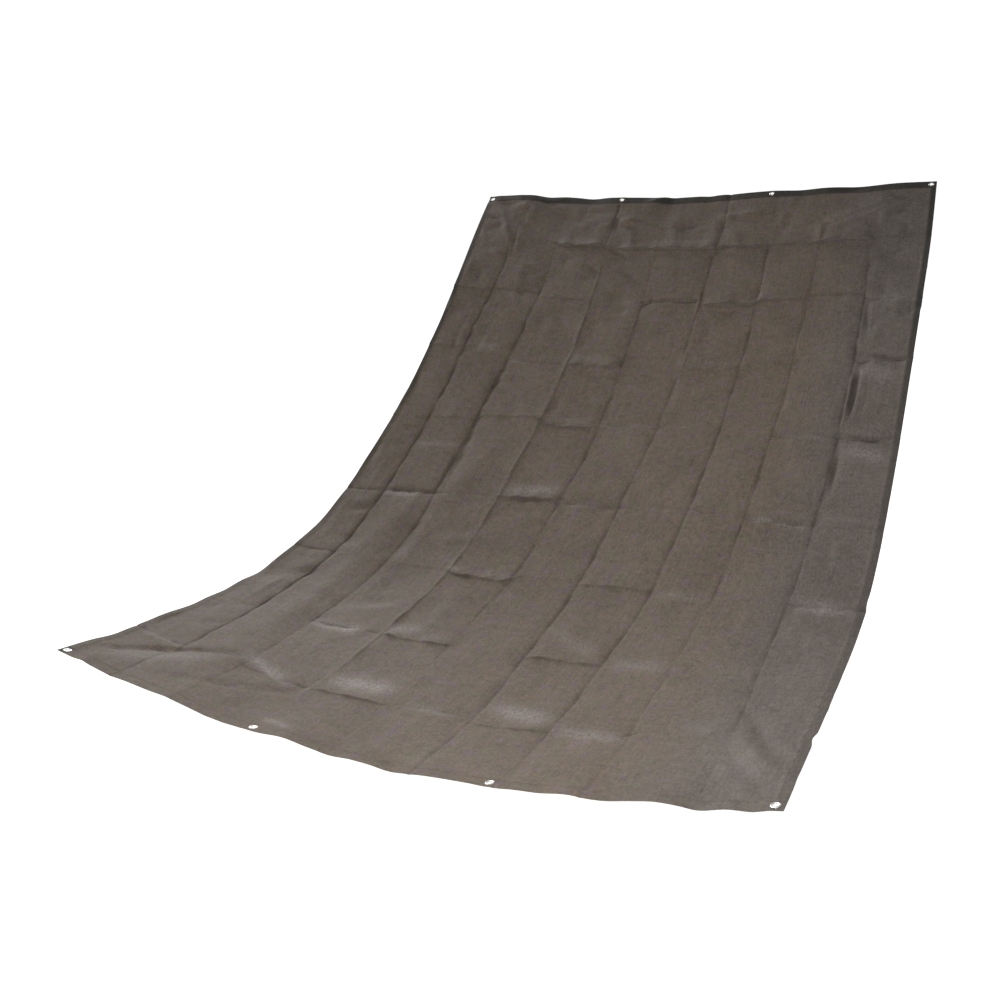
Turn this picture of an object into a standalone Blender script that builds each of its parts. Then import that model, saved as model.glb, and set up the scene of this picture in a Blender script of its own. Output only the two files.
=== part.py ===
"""Sunshade awning: a 2 by 3 m knitted shade net that hangs by its top edge.

The net slopes down towards the viewer, curves like a slack chain and runs out level at its
foot. It still shows the 9 by 9 panels in which it was folded, the pulls from its four corners
and a few pinched folds. Hemmed strips along the top and the foot hold four metal eyelets each.

Metres, +Z up. The origin is the middle of the top edge, +X runs to the right along it, and
the net comes towards -Y.
"""

import math
from collections import namedtuple

import bmesh
import bpy
import numpy as np
from mathutils import Matrix

# Driving dimensions
CLOTH_WIDTH = 2.0
CLOTH_LENGTH = 3.0
PANELS = 9
HEM_WIDTH = 0.040
HEM_TAPER = 0.003
NET_THICKNESS = 0.0015
HEM_THICKNESS = 0.0024
SEAM_GAP = 0.0003

# Eyelets: a rolled metal ring with a barrel through the hem and a flange on each face
EYELET_STATIONS = (0.020, 0.673, 1.347, 1.980)
EYELET_INSET = 0.020
EYELET_BORE_RADIUS = 0.0062
EYELET_BARREL_RADIUS = 0.0072
EYELET_FRONT_RADIUS = 0.0118
EYELET_BACK_RADIUS = 0.0112
EYELET_FLANGE = 0.0009
EYELET_ROUNDING = 0.0004
EYELET_SIDES = 16
HOLE_CUTTER_DEPTH = 0.0096
PAD_HALF_SIZE = 0.0130
PAD_FLAT_RADIUS = 0.0190
PAD_FADE_RADIUS = 0.0400

# Spacing of the mesh beside a crease, and the step of the side profiles
CREASE_STEP = 0.030
CLOSEST_PLACES = 0.012
PROFILE_STEPS = 180
NORMAL_STEP = 0.01
SMOOTH_ANGLE = 35.0

PANEL_WIDTH = CLOTH_WIDTH / PANELS
PANEL_LENGTH = CLOTH_LENGTH / PANELS

# The cloth's run, a row at the top edge and at each ninth of the length: the slope of its left
# and right sides below level in degrees, how far those sides lie in from straight, and how far
# the middle hangs below them.
Section = namedtuple("Section", "slope_left slope_right in_left in_right sag")
SECTIONS = (
    Section(39.0, 40.5, 0.020, 0.000, 0.020),
    Section(39.0, 41.0, 0.064, -0.012, 0.034),
    Section(43.0, 41.0, 0.106, -0.016, 0.048),
    Section(46.5, 42.5, 0.114, -0.018, 0.050),
    Section(45.5, 43.0, 0.100, -0.018, 0.020),
    Section(39.5, 35.0, 0.064, -0.016, -0.008),
    Section(25.0, 21.0, 0.020, -0.012, 0.028),
    Section(7.5, 8.5, -0.036, -0.004, 0.066),
    Section(-1.5, 4.5, -0.044, -0.003, 0.108),
    Section(-4.5, 3.5, -0.034, 0.000, 0.104),
)

# Scallops of the top and foot edges: a row at the left end and at each ninth of the width
EdgeWave = namedtuple("EdgeWave", "top foot")
EDGE_WAVES = (
    EdgeWave(0.000, 0.000),
    EdgeWave(0.014, 0.001),
    EdgeWave(0.000, -0.001),
    EdgeWave(-0.002, -0.008),
    EdgeWave(-0.009, -0.008),
    EdgeWave(-0.004, -0.010),
    EdgeWave(0.003, -0.008),
    EdgeWave(0.005, 0.006),
    EdgeWave(0.006, 0.002),
    EdgeWave(0.000, 0.000),
)
EDGE_WAVE_REACH = 0.25

# Packing creases, a row for each from the left and then from the top, in millimetres: how far
# each panel's length of the crease lies off its ninth, and its height towards the viewer.
Crease = namedtuple("Crease", "drift height")
LENGTHWISE = (
    Crease((-33, -18, -50, -55, -55, -47, -44, -33, -22), (-5, -6, -7, -7, -7, -6, -6, -4, -2)),
    Crease((-22, -16, -38, -64, -56, -40, -42, -44, -33), (-2, -3, -7, -10, -9, -5, -4, -2, -1)),
    Crease((2, -2, 0, -2, -4, -2, -9, -13, -15), (-5, 5, 5, 4, 4, 3, 2, -2, -1)),
    Crease((11, 11, 13, 18, 24, 11, 2, 4, 4), (-1, -2, -5, -5, -6, -4, -3, -1, -1)),
    Crease((58, 40, 33, 33, 24, 13, 22, 31, 31), (-6, -6, -4, -4, -4, -6, -6, -4, -3)),
    Crease((40, 44, 47, 42, 44, 38, 38, 33, 31), (-1, -4, -5, -5, -6, -5, -5, -4, -3)),
    Crease((33, 27, 18, 18, 11, 11, 9, 7, 18), (-2, -4, -4, -3, -5, -4, -2, -3, -2)),
    Crease((11, 7, 16, 18, 16, 9, 11, 30, 40), (-2, -4, -6, -7, -6, -4, -4, -3, -1)),
)
CROSSWISE = (
    Crease((0, -30, -2, 11, 13, 7, 2, -4, -12), (0, 3, 6, 5, 8, 4, 2, 6, -3)),
    Crease((-27, -40, -18, 10, -22, 0, -22, -45, -4), (3, -3, 2, 3, -2, 7, 2, -2, -4)),
    Crease((-38, -50, 4, 4, -55, 0, -40, -51, -30), (4, 2, -2, 8, -1, 6, 1, 1, -6)),
    Crease((0, -11, -38, -2, -29, -38, -11, -20, -7), (1, 1, 3, 8, -3, -1, -1, -4, -7)),
    Crease((38, 31, 30, 27, 33, 29, 29, 33, 40), (-3, -9, -1, 8, -3, -3, -2, -8, 3)),
    Crease((18, 20, 20, 45, 11, 22, 33, 30, 33), (-2, 1, 1, 6, 1, 5, -1, 1, -6)),
    Crease((45, 45, 45, 45, 35, 42, 22, 55, 40), (-1, 1, -5, 6, 1, 6, -2, -1, 1)),
    Crease((44, 40, 45, 40, 15, 40, 33, 2, 0), (-3, 0, -4, 6, -3, 5, -4, -2, -1)),
)
CREASE_REACH = 0.026
MILLIMETRE = 0.001

# The share of a panel, on each side of a crease, over which a value changes to the next panel's
LENGTHWISE_EASE = 0.42
CROSSWISE_EASE = 0.12

# Pulls and pinched folds: the start in panels from the left and from the top, the heading in
# the flat cloth with 0 to the right and 90 to the foot, the length, height and half width.
Fold = namedtuple("Fold", "across along heading length height width")
FOLDS = (
    Fold(0.15, 0.08, 39.0, 0.560, -0.010, 0.028),
    Fold(0.30, 0.05, 24.0, 0.420, 0.007, 0.030),
    Fold(0.10, 0.30, 62.0, 0.520, 0.007, 0.034),
    Fold(8.85, 0.08, 143.0, 0.500, -0.009, 0.028),
    Fold(8.60, 0.25, 157.0, 0.420, 0.007, 0.028),
    Fold(0.12, 8.75, -40.0, 0.620, -0.012, 0.020),
    Fold(0.30, 8.80, -36.0, 0.420, 0.008, 0.040),
    Fold(0.80, 8.85, -23.0, 0.560, -0.006, 0.020),
    Fold(8.85, 8.88, -125.0, 0.300, -0.008, 0.026),
    Fold(8.00, 7.45, 62.0, 0.420, -0.008, 0.018),
    Fold(8.10, 1.95, 84.0, 0.260, -0.008, 0.012),
    Fold(8.17, 2.92, 91.0, 0.330, -0.014, 0.012),
    Fold(8.13, 4.05, 90.0, 0.240, -0.009, 0.012),
    Fold(1.72, 2.80, 90.0, 0.330, -0.008, 0.018),
    Fold(1.72, 3.90, 84.0, 0.420, -0.008, 0.018),
    Fold(0.05, 4.40, 0.0, 1.450, -0.003, 0.012),
)

# Colours and finishes
Finish = namedtuple("Finish", "colour roughness metallic")
NET_FINISH = Finish((0.133, 0.108, 0.093, 1.0), 0.75, 0.0)
HEM_FINISH = Finish((0.052, 0.044, 0.036, 1.0), 0.80, 0.0)
METAL_FINISH = Finish((0.72, 0.72, 0.71, 1.0), 0.35, 1.0)


def clear_scene():
    """Remove the objects that the scene starts with."""
    for thing in list(bpy.data.objects):
        bpy.data.objects.remove(thing, do_unlink=True)


def spline(values, places):
    """Natural cubic through values at 0, 1, 2 and on, read at the given places."""
    values = np.asarray(values, float)
    count = len(values)
    matrix = np.zeros((count, count))
    right_side = np.zeros(count)
    matrix[0, 0] = 1.0
    matrix[-1, -1] = 1.0
    for row in range(1, count - 1):
        matrix[row, row - 1 : row + 2] = (1.0, 4.0, 1.0)
        right_side[row] = 6.0 * (values[row - 1] - 2.0 * values[row] + values[row + 1])
    bends = np.linalg.solve(matrix, right_side)
    places = np.asarray(places, float)
    cell = np.clip(places.astype(int), 0, count - 2)
    after = places - cell
    before = 1.0 - after
    straight = before * values[cell] + after * values[cell + 1]
    curved = (before**3 - before) * bends[cell] + (after**3 - after) * bends[cell + 1]
    return straight + curved / 6.0


def side_run(slopes):
    """Places, forward reach and height of one side, from its slopes and its true length."""
    places = np.linspace(0.0, PANELS, PROFILE_STEPS + 1)
    angles = np.radians(spline(slopes, places))
    angles = (angles[1:] + angles[:-1]) / 2.0
    step = CLOTH_LENGTH / PROFILE_STEPS
    forward = np.concatenate(([0.0], np.cumsum(-np.cos(angles) * step)))
    height = np.concatenate(([0.0], np.cumsum(-np.sin(angles) * step)))
    return places, forward, height


LEFT_RUN = side_run([row.slope_left for row in SECTIONS])
RIGHT_RUN = side_run([row.slope_right for row in SECTIONS])


def by_panel(values, places, ease):
    """Values in millimetres, one for each panel, held across it and eased from panel to panel."""
    knots = []
    levels = []
    for number, value in enumerate(values):
        knots += [number + ease, number + 1.0 - ease]
        levels += [value * MILLIMETRE, value * MILLIMETRE]
    return np.interp(places, knots, levels)


def crease_drift(creases, index_places, run_places, panel_size, ease):
    """How far the cloth beside a family of creases lies off even ninths, nowhere in a hem."""
    hem = (HEM_WIDTH + HEM_TAPER) / panel_size
    knots = [0.0, hem, *range(1, PANELS), PANELS - hem, PANELS]
    drift = np.zeros(np.broadcast(index_places, run_places).shape)
    for number, crease in enumerate(creases, start=1):
        peak = [float(knot == number) for knot in knots]
        weight = np.interp(index_places, knots, peak)
        drift = drift + weight * by_panel(crease.drift, run_places, ease)
    return drift


def flat_place(across, along):
    """Places in the flat cloth, as ninths, of panel coordinates that follow the creases."""
    across = np.asarray(across, float)
    along = np.asarray(along, float)
    aside = crease_drift(LENGTHWISE, across, along, PANEL_WIDTH, LENGTHWISE_EASE)
    ahead = crease_drift(CROSSWISE, along, across, PANEL_LENGTH, CROSSWISE_EASE)
    return across + aside / PANEL_WIDTH, along + ahead / PANEL_LENGTH


def cloth_from_corners(across, along):
    """Points of the hanging cloth, with heights taken from its top corners."""
    sideways, endways = flat_place(across, along)
    share = sideways / PANELS
    in_left = spline([row.in_left for row in SECTIONS], endways)
    in_right = spline([row.in_right for row in SECTIONS], endways)
    sag = spline([row.sag for row in SECTIONS], endways)
    left_forward = np.interp(endways, LEFT_RUN[0], LEFT_RUN[1])
    left_height = np.interp(endways, LEFT_RUN[0], LEFT_RUN[2])
    right_forward = np.interp(endways, RIGHT_RUN[0], RIGHT_RUN[1])
    right_height = np.interp(endways, RIGHT_RUN[0], RIGHT_RUN[2])
    x = (in_left - CLOTH_WIDTH / 2.0) * (1.0 - share) + (CLOTH_WIDTH / 2.0 - in_right) * share
    y = left_forward * (1.0 - share) + right_forward * share
    z = left_height * (1.0 - share) + right_height * share - 4.0 * share * (1.0 - share) * sag
    from_top = endways * PANEL_LENGTH / EDGE_WAVE_REACH
    from_foot = (PANELS - endways) * PANEL_LENGTH / EDGE_WAVE_REACH
    z = z + spline([row.top for row in EDGE_WAVES], sideways) * np.exp(-(from_top**2))
    z = z + spline([row.foot for row in EDGE_WAVES], sideways) * np.exp(-(from_foot**2))
    return np.stack((x, y, z), axis=-1)


# The origin is the middle of the top edge, which hangs a little below the top corners
TOP_SHIFT = (SECTIONS[0].in_left - SECTIONS[0].in_right) / 2.0
TOP_MIDDLE = cloth_from_corners(PANELS / 2.0, 0.0) * (0.0, 0.0, 1.0) + (TOP_SHIFT, 0.0, 0.0)


def smooth_cloth(across, along):
    """Points of the hanging cloth without its creases, folds and thickness."""
    return cloth_from_corners(across, along) - TOP_MIDDLE


def cloth_normals(across, along):
    """Unit normals of the smooth cloth, on the side that faces up and to the viewer."""
    across = np.asarray(across, float)
    along = np.asarray(along, float)
    right = smooth_cloth(across + NORMAL_STEP, along) - smooth_cloth(across - NORMAL_STEP, along)
    down = smooth_cloth(across, along + NORMAL_STEP) - smooth_cloth(across, along - NORMAL_STEP)
    normals = np.cross(down, right)
    return normals / np.linalg.norm(normals, axis=-1, keepdims=True)


def fold_relief(fold, sideways, endways):
    """Height of one fold: a soft bump across it that fades out at both of its ends."""
    heading = math.radians(fold.heading)
    x = (sideways - fold.across) * PANEL_WIDTH
    y = (endways - fold.along) * PANEL_LENGTH
    forward = x * math.cos(heading) + y * math.sin(heading)
    aside = -x * math.sin(heading) + y * math.cos(heading)
    share = np.clip(forward / fold.length, 0.0, 1.0)
    return fold.height * np.sin(math.pi * share) * np.exp(-((aside / fold.width) ** 2))


def relief(across, along):
    """Height of the creases and folds over the smooth cloth, towards the viewer."""
    across = np.asarray(across, float)
    along = np.asarray(along, float)
    height = np.zeros(np.broadcast(across, along).shape)
    for number, crease in enumerate(LENGTHWISE, start=1):
        aside = np.abs(across - number) * PANEL_WIDTH / CREASE_REACH
        height = height + by_panel(crease.height, along, LENGTHWISE_EASE) * np.exp(-aside)
    for number, crease in enumerate(CROSSWISE, start=1):
        aside = np.abs(along - number) * PANEL_LENGTH / CREASE_REACH
        height = height + by_panel(crease.height, across, CROSSWISE_EASE) * np.exp(-aside)
    sideways, endways = flat_place(across, along)
    for fold in FOLDS:
        height = height + fold_relief(fold, sideways, endways)
    return height


def eyelet_places():
    """Panel coordinates of the eyelet centres, by strip, each at its station and inset."""
    samples = np.linspace(0.0, PANELS, PROFILE_STEPS + 1)
    rows = {"top": EYELET_INSET, "foot": CLOTH_LENGTH - EYELET_INSET}
    places = {}
    for strip, distance in rows.items():
        along = distance / PANEL_LENGTH
        flat, _ = flat_place(samples, np.full_like(samples, along))
        across = [float(np.interp(s / PANEL_WIDTH, flat, samples)) for s in EYELET_STATIONS]
        places[strip] = [(place, along) for place in across]
    return places


def eyelet_frames():
    """Centre, right, down and outward directions of each eyelet, by strip."""
    frames = {}
    for strip, places in EYELET_PLACES.items():
        frames[strip] = []
        for across, along in places:
            centre = smooth_cloth(across, along)
            outward = cloth_normals(across, along)
            right = smooth_cloth(across + NORMAL_STEP, along) - centre
            right = right - outward * np.dot(right, outward)
            right = right / np.linalg.norm(right)
            down = np.cross(right, outward)
            frames[strip].append((centre, right, down, outward))
    return frames


def skin(across, along, height):
    """Points of the cloth's face at a height over its middle, flat around each eyelet."""
    across = np.asarray(across, float)
    along = np.asarray(along, float)
    lift = relief(across, along) + height
    points = smooth_cloth(across, along) + cloth_normals(across, along) * lift[..., None]
    for frames in EYELET_FRAMES.values():
        for centre, _, _, outward in frames:
            offset = points - centre
            out = offset @ outward
            aside = np.linalg.norm(offset - out[..., None] * outward, axis=-1)
            fade = (PAD_FADE_RADIUS - aside) / (PAD_FADE_RADIUS - PAD_FLAT_RADIUS)
            weight = np.clip(fade, 0.0, 1.0)
            points = points + (weight * (height - out))[..., None] * outward
    return points


EYELET_PLACES = eyelet_places()
EYELET_FRAMES = eyelet_frames()


def tidy_places(places):
    """Sorted mesh places with any that crowd the one before them left out."""
    kept = []
    for place in sorted(places):
        if not kept or place - kept[-1] > CLOSEST_PLACES:
            kept.append(place)
    return kept


def column_places():
    """Mesh columns: the creases and the cloth beside them, the side hems and the eyelet pads."""
    step = CREASE_STEP / PANEL_WIDTH
    hem = HEM_WIDTH / PANEL_WIDTH
    taper = (HEM_WIDTH + HEM_TAPER) / PANEL_WIDTH
    pad = PAD_HALF_SIZE / PANEL_WIDTH
    places = [0.0, hem, taper, PANELS - taper, PANELS - hem, float(PANELS)]
    for number in range(1, PANELS):
        places += [number - step, float(number), number + step]
    places += [number + 0.5 for number in range(PANELS)]
    for strip_places in EYELET_PLACES.values():
        for across, _ in strip_places:
            places += [across - pad, across + pad]
    return tidy_places(places)


def row_places():
    """Mesh rows of the net between its two hemmed strips."""
    step = CREASE_STEP / PANEL_LENGTH
    seam = (HEM_WIDTH + SEAM_GAP / 2.0) / PANEL_LENGTH
    places = [seam, PANELS - seam, seam + 3 * step, PANELS - seam - 3 * step]
    for number in range(1, PANELS):
        places += [number - step, float(number), number + step]
    places += [number + 0.5 for number in range(PANELS)]
    return tidy_places(places)


def strip_row_places(strip):
    """Mesh rows of a hemmed strip: its free edge, its eyelet pads and its seam."""
    distances = [
        0.0,
        EYELET_INSET - PAD_HALF_SIZE,
        EYELET_INSET + PAD_HALF_SIZE,
        HEM_WIDTH - SEAM_GAP / 2.0,
    ]
    places = [distance / PANEL_LENGTH for distance in distances]
    if strip == "foot":
        places = sorted(PANELS - place for place in places)
    return places


def side_thickness(across):
    """Thickness of the net at a place across it: doubled over where the side hems lie."""
    from_side = np.minimum(across, PANELS - across) * PANEL_WIDTH
    share = np.clip((from_side - HEM_WIDTH) / HEM_TAPER, 0.0, 1.0)
    return HEM_THICKNESS + (NET_THICKNESS - HEM_THICKNESS) * share


def shade_round(mesh):
    """Shade a mesh smooth but for its sharp edges."""
    mesh.shade_smooth()
    mesh.set_sharp_from_angle(angle=math.radians(SMOOTH_ANGLE))


def make_material(name, finish):
    """A plain Principled material with a finish."""
    material = bpy.data.materials.new(name)
    material.use_nodes = True
    shader = material.node_tree.nodes["Principled BSDF"]
    shader.inputs["Base Color"].default_value = finish.colour
    shader.inputs["Roughness"].default_value = finish.roughness
    shader.inputs["Metallic"].default_value = finish.metallic
    return material


def link_object(name, mesh, material):
    """A named object of the scene with its own material."""
    thing = bpy.data.objects.new(name, mesh)
    mesh.materials.append(material)
    bpy.context.scene.collection.objects.link(thing)
    return thing


def sheet_mesh(name, columns, rows, thickness):
    """Closed sheet over a grid of panel places: a face, a back and the walls round its edge."""
    across, along = np.meshgrid(np.array(columns), np.array(rows))
    half = thickness(across) / 2.0
    front = skin(across, along, half)
    back = skin(across, along, -half)
    shape = bmesh.new()
    front_verts = [[shape.verts.new(point) for point in line] for line in front]
    back_verts = [[shape.verts.new(point) for point in line] for line in back]
    last_row = len(rows) - 1
    last_column = len(columns) - 1
    for row in range(last_row):
        for column in range(last_column):
            corners = ((row, column), (row + 1, column), (row + 1, column + 1), (row, column + 1))
            shape.faces.new([front_verts[r][c] for r, c in corners])
            shape.faces.new([back_verts[r][c] for r, c in reversed(corners)])
    border = [(0, column) for column in range(last_column)]
    border += [(row, last_column) for row in range(last_row)]
    border += [(last_row, column) for column in range(last_column, 0, -1)]
    border += [(row, 0) for row in range(last_row, 0, -1)]
    for here, there in zip(border, border[1:] + border[:1]):
        shape.faces.new(
            (
                front_verts[here[0]][here[1]],
                front_verts[there[0]][there[1]],
                back_verts[there[0]][there[1]],
                back_verts[here[0]][here[1]],
            )
        )
    bmesh.ops.triangulate(shape, faces=shape.faces[:], quad_method="SHORT_EDGE")
    mesh = bpy.data.meshes.new(name)
    shape.to_mesh(mesh)
    shape.free()
    shade_round(mesh)
    return mesh


def frame_matrix(frame):
    """Matrix that places a piece on an eyelet: its Z is outward and its X to the right."""
    centre, right, _, outward = frame
    up = np.cross(outward, right)
    matrix = Matrix.Identity(4)
    for row in range(3):
        matrix[row][0] = right[row]
        matrix[row][1] = up[row]
        matrix[row][2] = outward[row]
        matrix[row][3] = centre[row]
    return matrix


def eyelet_mesh():
    """Eyelet as a turned section: bore, rolled front flange, barrel and back flange."""
    inner = HEM_THICKNESS / 2.0 + SEAM_GAP
    outer = inner + EYELET_FLANGE
    soft = EYELET_ROUNDING
    section = (
        (EYELET_BORE_RADIUS, -outer + soft),
        (EYELET_BORE_RADIUS, outer - soft),
        (EYELET_BORE_RADIUS + soft, outer),
        (EYELET_FRONT_RADIUS - soft, outer),
        (EYELET_FRONT_RADIUS, inner),
        (EYELET_BARREL_RADIUS, inner),
        (EYELET_BARREL_RADIUS, -inner),
        (EYELET_BACK_RADIUS, -inner),
        (EYELET_BACK_RADIUS - soft, -outer),
        (EYELET_BORE_RADIUS + soft, -outer),
    )
    shape = bmesh.new()
    loop = [shape.verts.new((radius, 0.0, height)) for radius, height in section]
    edges = [shape.edges.new(pair) for pair in zip(loop, loop[1:] + loop[:1])]
    bmesh.ops.spin(
        shape,
        geom=loop + edges,
        cent=(0.0, 0.0, 0.0),
        axis=(0.0, 0.0, 1.0),
        angle=math.tau,
        steps=EYELET_SIDES,
        use_merge=True,
    )
    bmesh.ops.remove_doubles(shape, verts=shape.verts[:], dist=0.00001)
    bmesh.ops.recalc_face_normals(shape, faces=shape.faces[:])
    mesh = bpy.data.meshes.new("eyelet")
    shape.to_mesh(mesh)
    shape.free()
    shade_round(mesh)
    return mesh


def hole_cutter(name, frames):
    """Cutter with one round bar through each eyelet's place in a strip."""
    shape = bmesh.new()
    hole_radius = EYELET_BARREL_RADIUS + SEAM_GAP
    for frame in frames:
        bmesh.ops.create_cone(
            shape,
            cap_ends=True,
            segments=EYELET_SIDES,
            radius1=hole_radius,
            radius2=hole_radius,
            depth=HOLE_CUTTER_DEPTH,
            matrix=frame_matrix(frame) @ Matrix.Rotation(math.pi / 2.0, 4, "Z"),
        )
    mesh = bpy.data.meshes.new(name)
    shape.to_mesh(mesh)
    shape.free()
    cutter = bpy.data.objects.new(name, mesh)
    bpy.context.scene.collection.objects.link(cutter)
    cutter.hide_render = True
    cutter.display_type = "WIRE"
    return cutter


def build_net():
    """The knitted net between the strips, its side hems part of it."""
    mesh = sheet_mesh("shade_net", column_places(), row_places(), side_thickness)
    material = make_material("net_cloth", NET_FINISH)
    return link_object("shade_net", mesh, material)


def build_strip(strip):
    """One hemmed strip of the net, of doubled cloth, with round holes for its eyelets."""
    name = strip + "_hem_strip"

    def doubled(across):
        return np.full_like(across, HEM_THICKNESS)

    mesh = sheet_mesh(name, column_places(), strip_row_places(strip), doubled)
    material = make_material(strip + "_hem_cloth", HEM_FINISH)
    piece = link_object(name, mesh, material)
    holes = piece.modifiers.new("eyelet_holes", "BOOLEAN")
    holes.operation = "DIFFERENCE"
    holes.solver = "EXACT"
    holes.object = hole_cutter(strip + "_hole_cutter", EYELET_FRAMES[strip])
    return piece


def build_eyelets(strip, mesh, material):
    """The four metal eyelets of a strip, from left to right."""
    for number, frame in enumerate(EYELET_FRAMES[strip], start=1):
        eyelet = bpy.data.objects.new(f"{strip}_eyelet_{number}", mesh)
        eyelet.matrix_world = frame_matrix(frame)
        bpy.context.scene.collection.objects.link(eyelet)
    if not mesh.materials:
        mesh.materials.append(material)


def main():
    clear_scene()
    build_net()
    metal = make_material("eyelet_metal", METAL_FINISH)
    ring = eyelet_mesh()
    for strip in ("top", "foot"):
        build_strip(strip)
        build_eyelets(strip, ring, metal)


main()
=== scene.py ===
"""Sunshade awning: the finished look of a 2 by 3 m knitted shade net hung by its top edge.

Metres, +Z up. The origin is the middle of the top edge, +X runs to the right along it, and
the net comes towards -Y as it falls. Places on the cloth are given in panels: across from its
left edge and along from its top edge, in ninths of its width and of its length.
"""

import logging
import math
from dataclasses import dataclass
from enum import Enum
from typing import Iterable, NamedTuple, Sequence, Union

import bmesh
import bpy
import numpy as np
from mathutils import Matrix, Vector

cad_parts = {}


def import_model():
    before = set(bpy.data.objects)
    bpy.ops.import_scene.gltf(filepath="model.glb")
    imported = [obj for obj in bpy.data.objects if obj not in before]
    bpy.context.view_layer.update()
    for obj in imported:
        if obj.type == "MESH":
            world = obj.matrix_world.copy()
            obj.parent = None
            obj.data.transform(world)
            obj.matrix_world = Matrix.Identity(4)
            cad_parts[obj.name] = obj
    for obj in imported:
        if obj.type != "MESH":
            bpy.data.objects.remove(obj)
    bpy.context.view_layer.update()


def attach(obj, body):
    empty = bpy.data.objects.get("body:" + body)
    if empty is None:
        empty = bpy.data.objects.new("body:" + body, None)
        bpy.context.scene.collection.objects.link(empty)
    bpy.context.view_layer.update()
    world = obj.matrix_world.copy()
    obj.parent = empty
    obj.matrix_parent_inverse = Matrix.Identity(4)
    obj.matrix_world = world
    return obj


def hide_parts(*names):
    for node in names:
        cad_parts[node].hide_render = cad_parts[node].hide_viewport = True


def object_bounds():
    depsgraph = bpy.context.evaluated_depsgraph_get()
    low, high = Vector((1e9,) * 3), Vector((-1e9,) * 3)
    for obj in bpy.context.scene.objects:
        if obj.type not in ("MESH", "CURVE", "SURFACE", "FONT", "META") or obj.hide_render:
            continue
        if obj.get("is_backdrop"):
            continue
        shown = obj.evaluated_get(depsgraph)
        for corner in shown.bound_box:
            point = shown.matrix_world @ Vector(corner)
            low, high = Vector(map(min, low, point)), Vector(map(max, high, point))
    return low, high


LOG = logging.getLogger("sunshade")
PANELS = 9
MILLIMETRE = 0.001
FLOOR_GAP = 0.015

Number = Union[float, np.ndarray]
Frame = tuple[np.ndarray, np.ndarray, np.ndarray]
Material = bpy.types.Material
Mesh = bpy.types.Mesh
Node = bpy.types.Node
Piece = bpy.types.Object
Socket = bpy.types.NodeSocket


class End(Enum):
    """The two ends of the net that carry eyelets."""

    TOP = "top"
    FOOT = "foot"


class Rim(Enum):
    """The four edges of the net."""

    LEFT = "left"
    RIGHT = "right"
    TOP = "top"
    FOOT = "foot"


class Section(NamedTuple):
    """The run of the cloth at one ninth of its length.

    The slopes of its left and right sides below level in degrees, how far those sides lie in
    from straight, and how far the middle hangs below them, in metres.
    """

    slope_left: float
    slope_right: float
    in_left: float
    in_right: float
    sag: float


class EdgeWave(NamedTuple):
    """Scallop of the top and the foot edge at one ninth of the width, in metres."""

    top: float
    foot: float


class EdgeBend(NamedTuple):
    """A small bend of one edge: its place in panels along that edge, how far it goes out
    sideways and up in millimetres, and its half width in millimetres."""

    rim: Rim
    place: float
    aside: float
    up: float
    half_width: float


class Crease(NamedTuple):
    """A packing crease, panel by panel along its run, in millimetres.

    drift is how far it lies off its ninth, height how far it stands towards the viewer, and
    dark how dark its painted shade line is beside the others of its family.
    """

    drift: Sequence[float]
    height: Sequence[float]
    dark: float = 1.0


class Family(NamedTuple):
    """One family of creases: the creases, a panel's size across them in metres, how softly
    their drift and height change from panel to panel, the reach of their steep side in metres,
    and how dark their painted shade lines are."""

    creases: Sequence[Crease]
    size: float
    ease: float
    steep: float
    darkness: float


class Waver(NamedTuple):
    """A wave along a crease: its rate in radians a panel, how far it is shifted from one crease
    to the next in radians, and its strength."""

    rate: float
    shift: float
    strength: float


class Ripple(NamedTuple):
    """A kind of small ripple: its heading and how far that strays in degrees, and how many
    of them each panel has."""

    heading: float
    spread: float
    count: int


class Fold(NamedTuple):
    """A pull or a pinched fold: its start in panels, its heading in the flat cloth with 0 to
    the right and 90 to the foot, its length in metres, and its height and half width in mm."""

    across: float
    along: float
    heading: float
    length: float
    height: float
    width: float


class PaintedGlint(NamedTuple):
    """A zone of painted highlight where the net glints: its middle in panels, its half sizes in
    millimetres, its heading in degrees and its strength."""

    across: float
    along: float
    half_length: float
    half_width: float
    heading: float
    strength: float


class Grain(NamedTuple):
    """A layer of noise: its lumps a metre, its finer layers and how strong they are, its
    stretch across and along the cloth, and its share of the whole."""

    scale: float
    detail: float
    rough: float
    stretch: tuple
    share: float


class Billow(NamedTuple):
    """A slow wave of the whole cloth: its height in millimetres, the waves that it makes over
    the width and over the length, and its phase in degrees."""

    height: float
    across: float
    along: float
    phase: float


SECTIONS = (
    Section(39.0, 40.5, 0.020, 0.000, 0.020),
    Section(39.0, 41.0, 0.064, -0.012, 0.034),
    Section(43.0, 41.0, 0.106, -0.016, 0.048),
    Section(46.5, 42.5, 0.114, -0.018, 0.050),
    Section(45.5, 43.0, 0.100, -0.018, 0.020),
    Section(39.5, 35.0, 0.064, -0.016, -0.008),
    Section(25.0, 21.0, 0.020, -0.012, 0.028),
    Section(7.5, 8.5, -0.036, -0.004, 0.066),
    Section(-1.5, 4.5, -0.044, -0.003, 0.108),
    Section(-4.5, 3.5, -0.034, 0.000, 0.104),
)

EDGE_WAVES = (
    EdgeWave(0.000, 0.000),
    EdgeWave(0.014, 0.001),
    EdgeWave(0.000, -0.001),
    EdgeWave(-0.002, -0.008),
    EdgeWave(-0.009, -0.008),
    EdgeWave(-0.004, -0.010),
    EdgeWave(0.003, -0.008),
    EdgeWave(0.005, 0.006),
    EdgeWave(0.006, 0.002),
    EdgeWave(0.000, 0.000),
)

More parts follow.
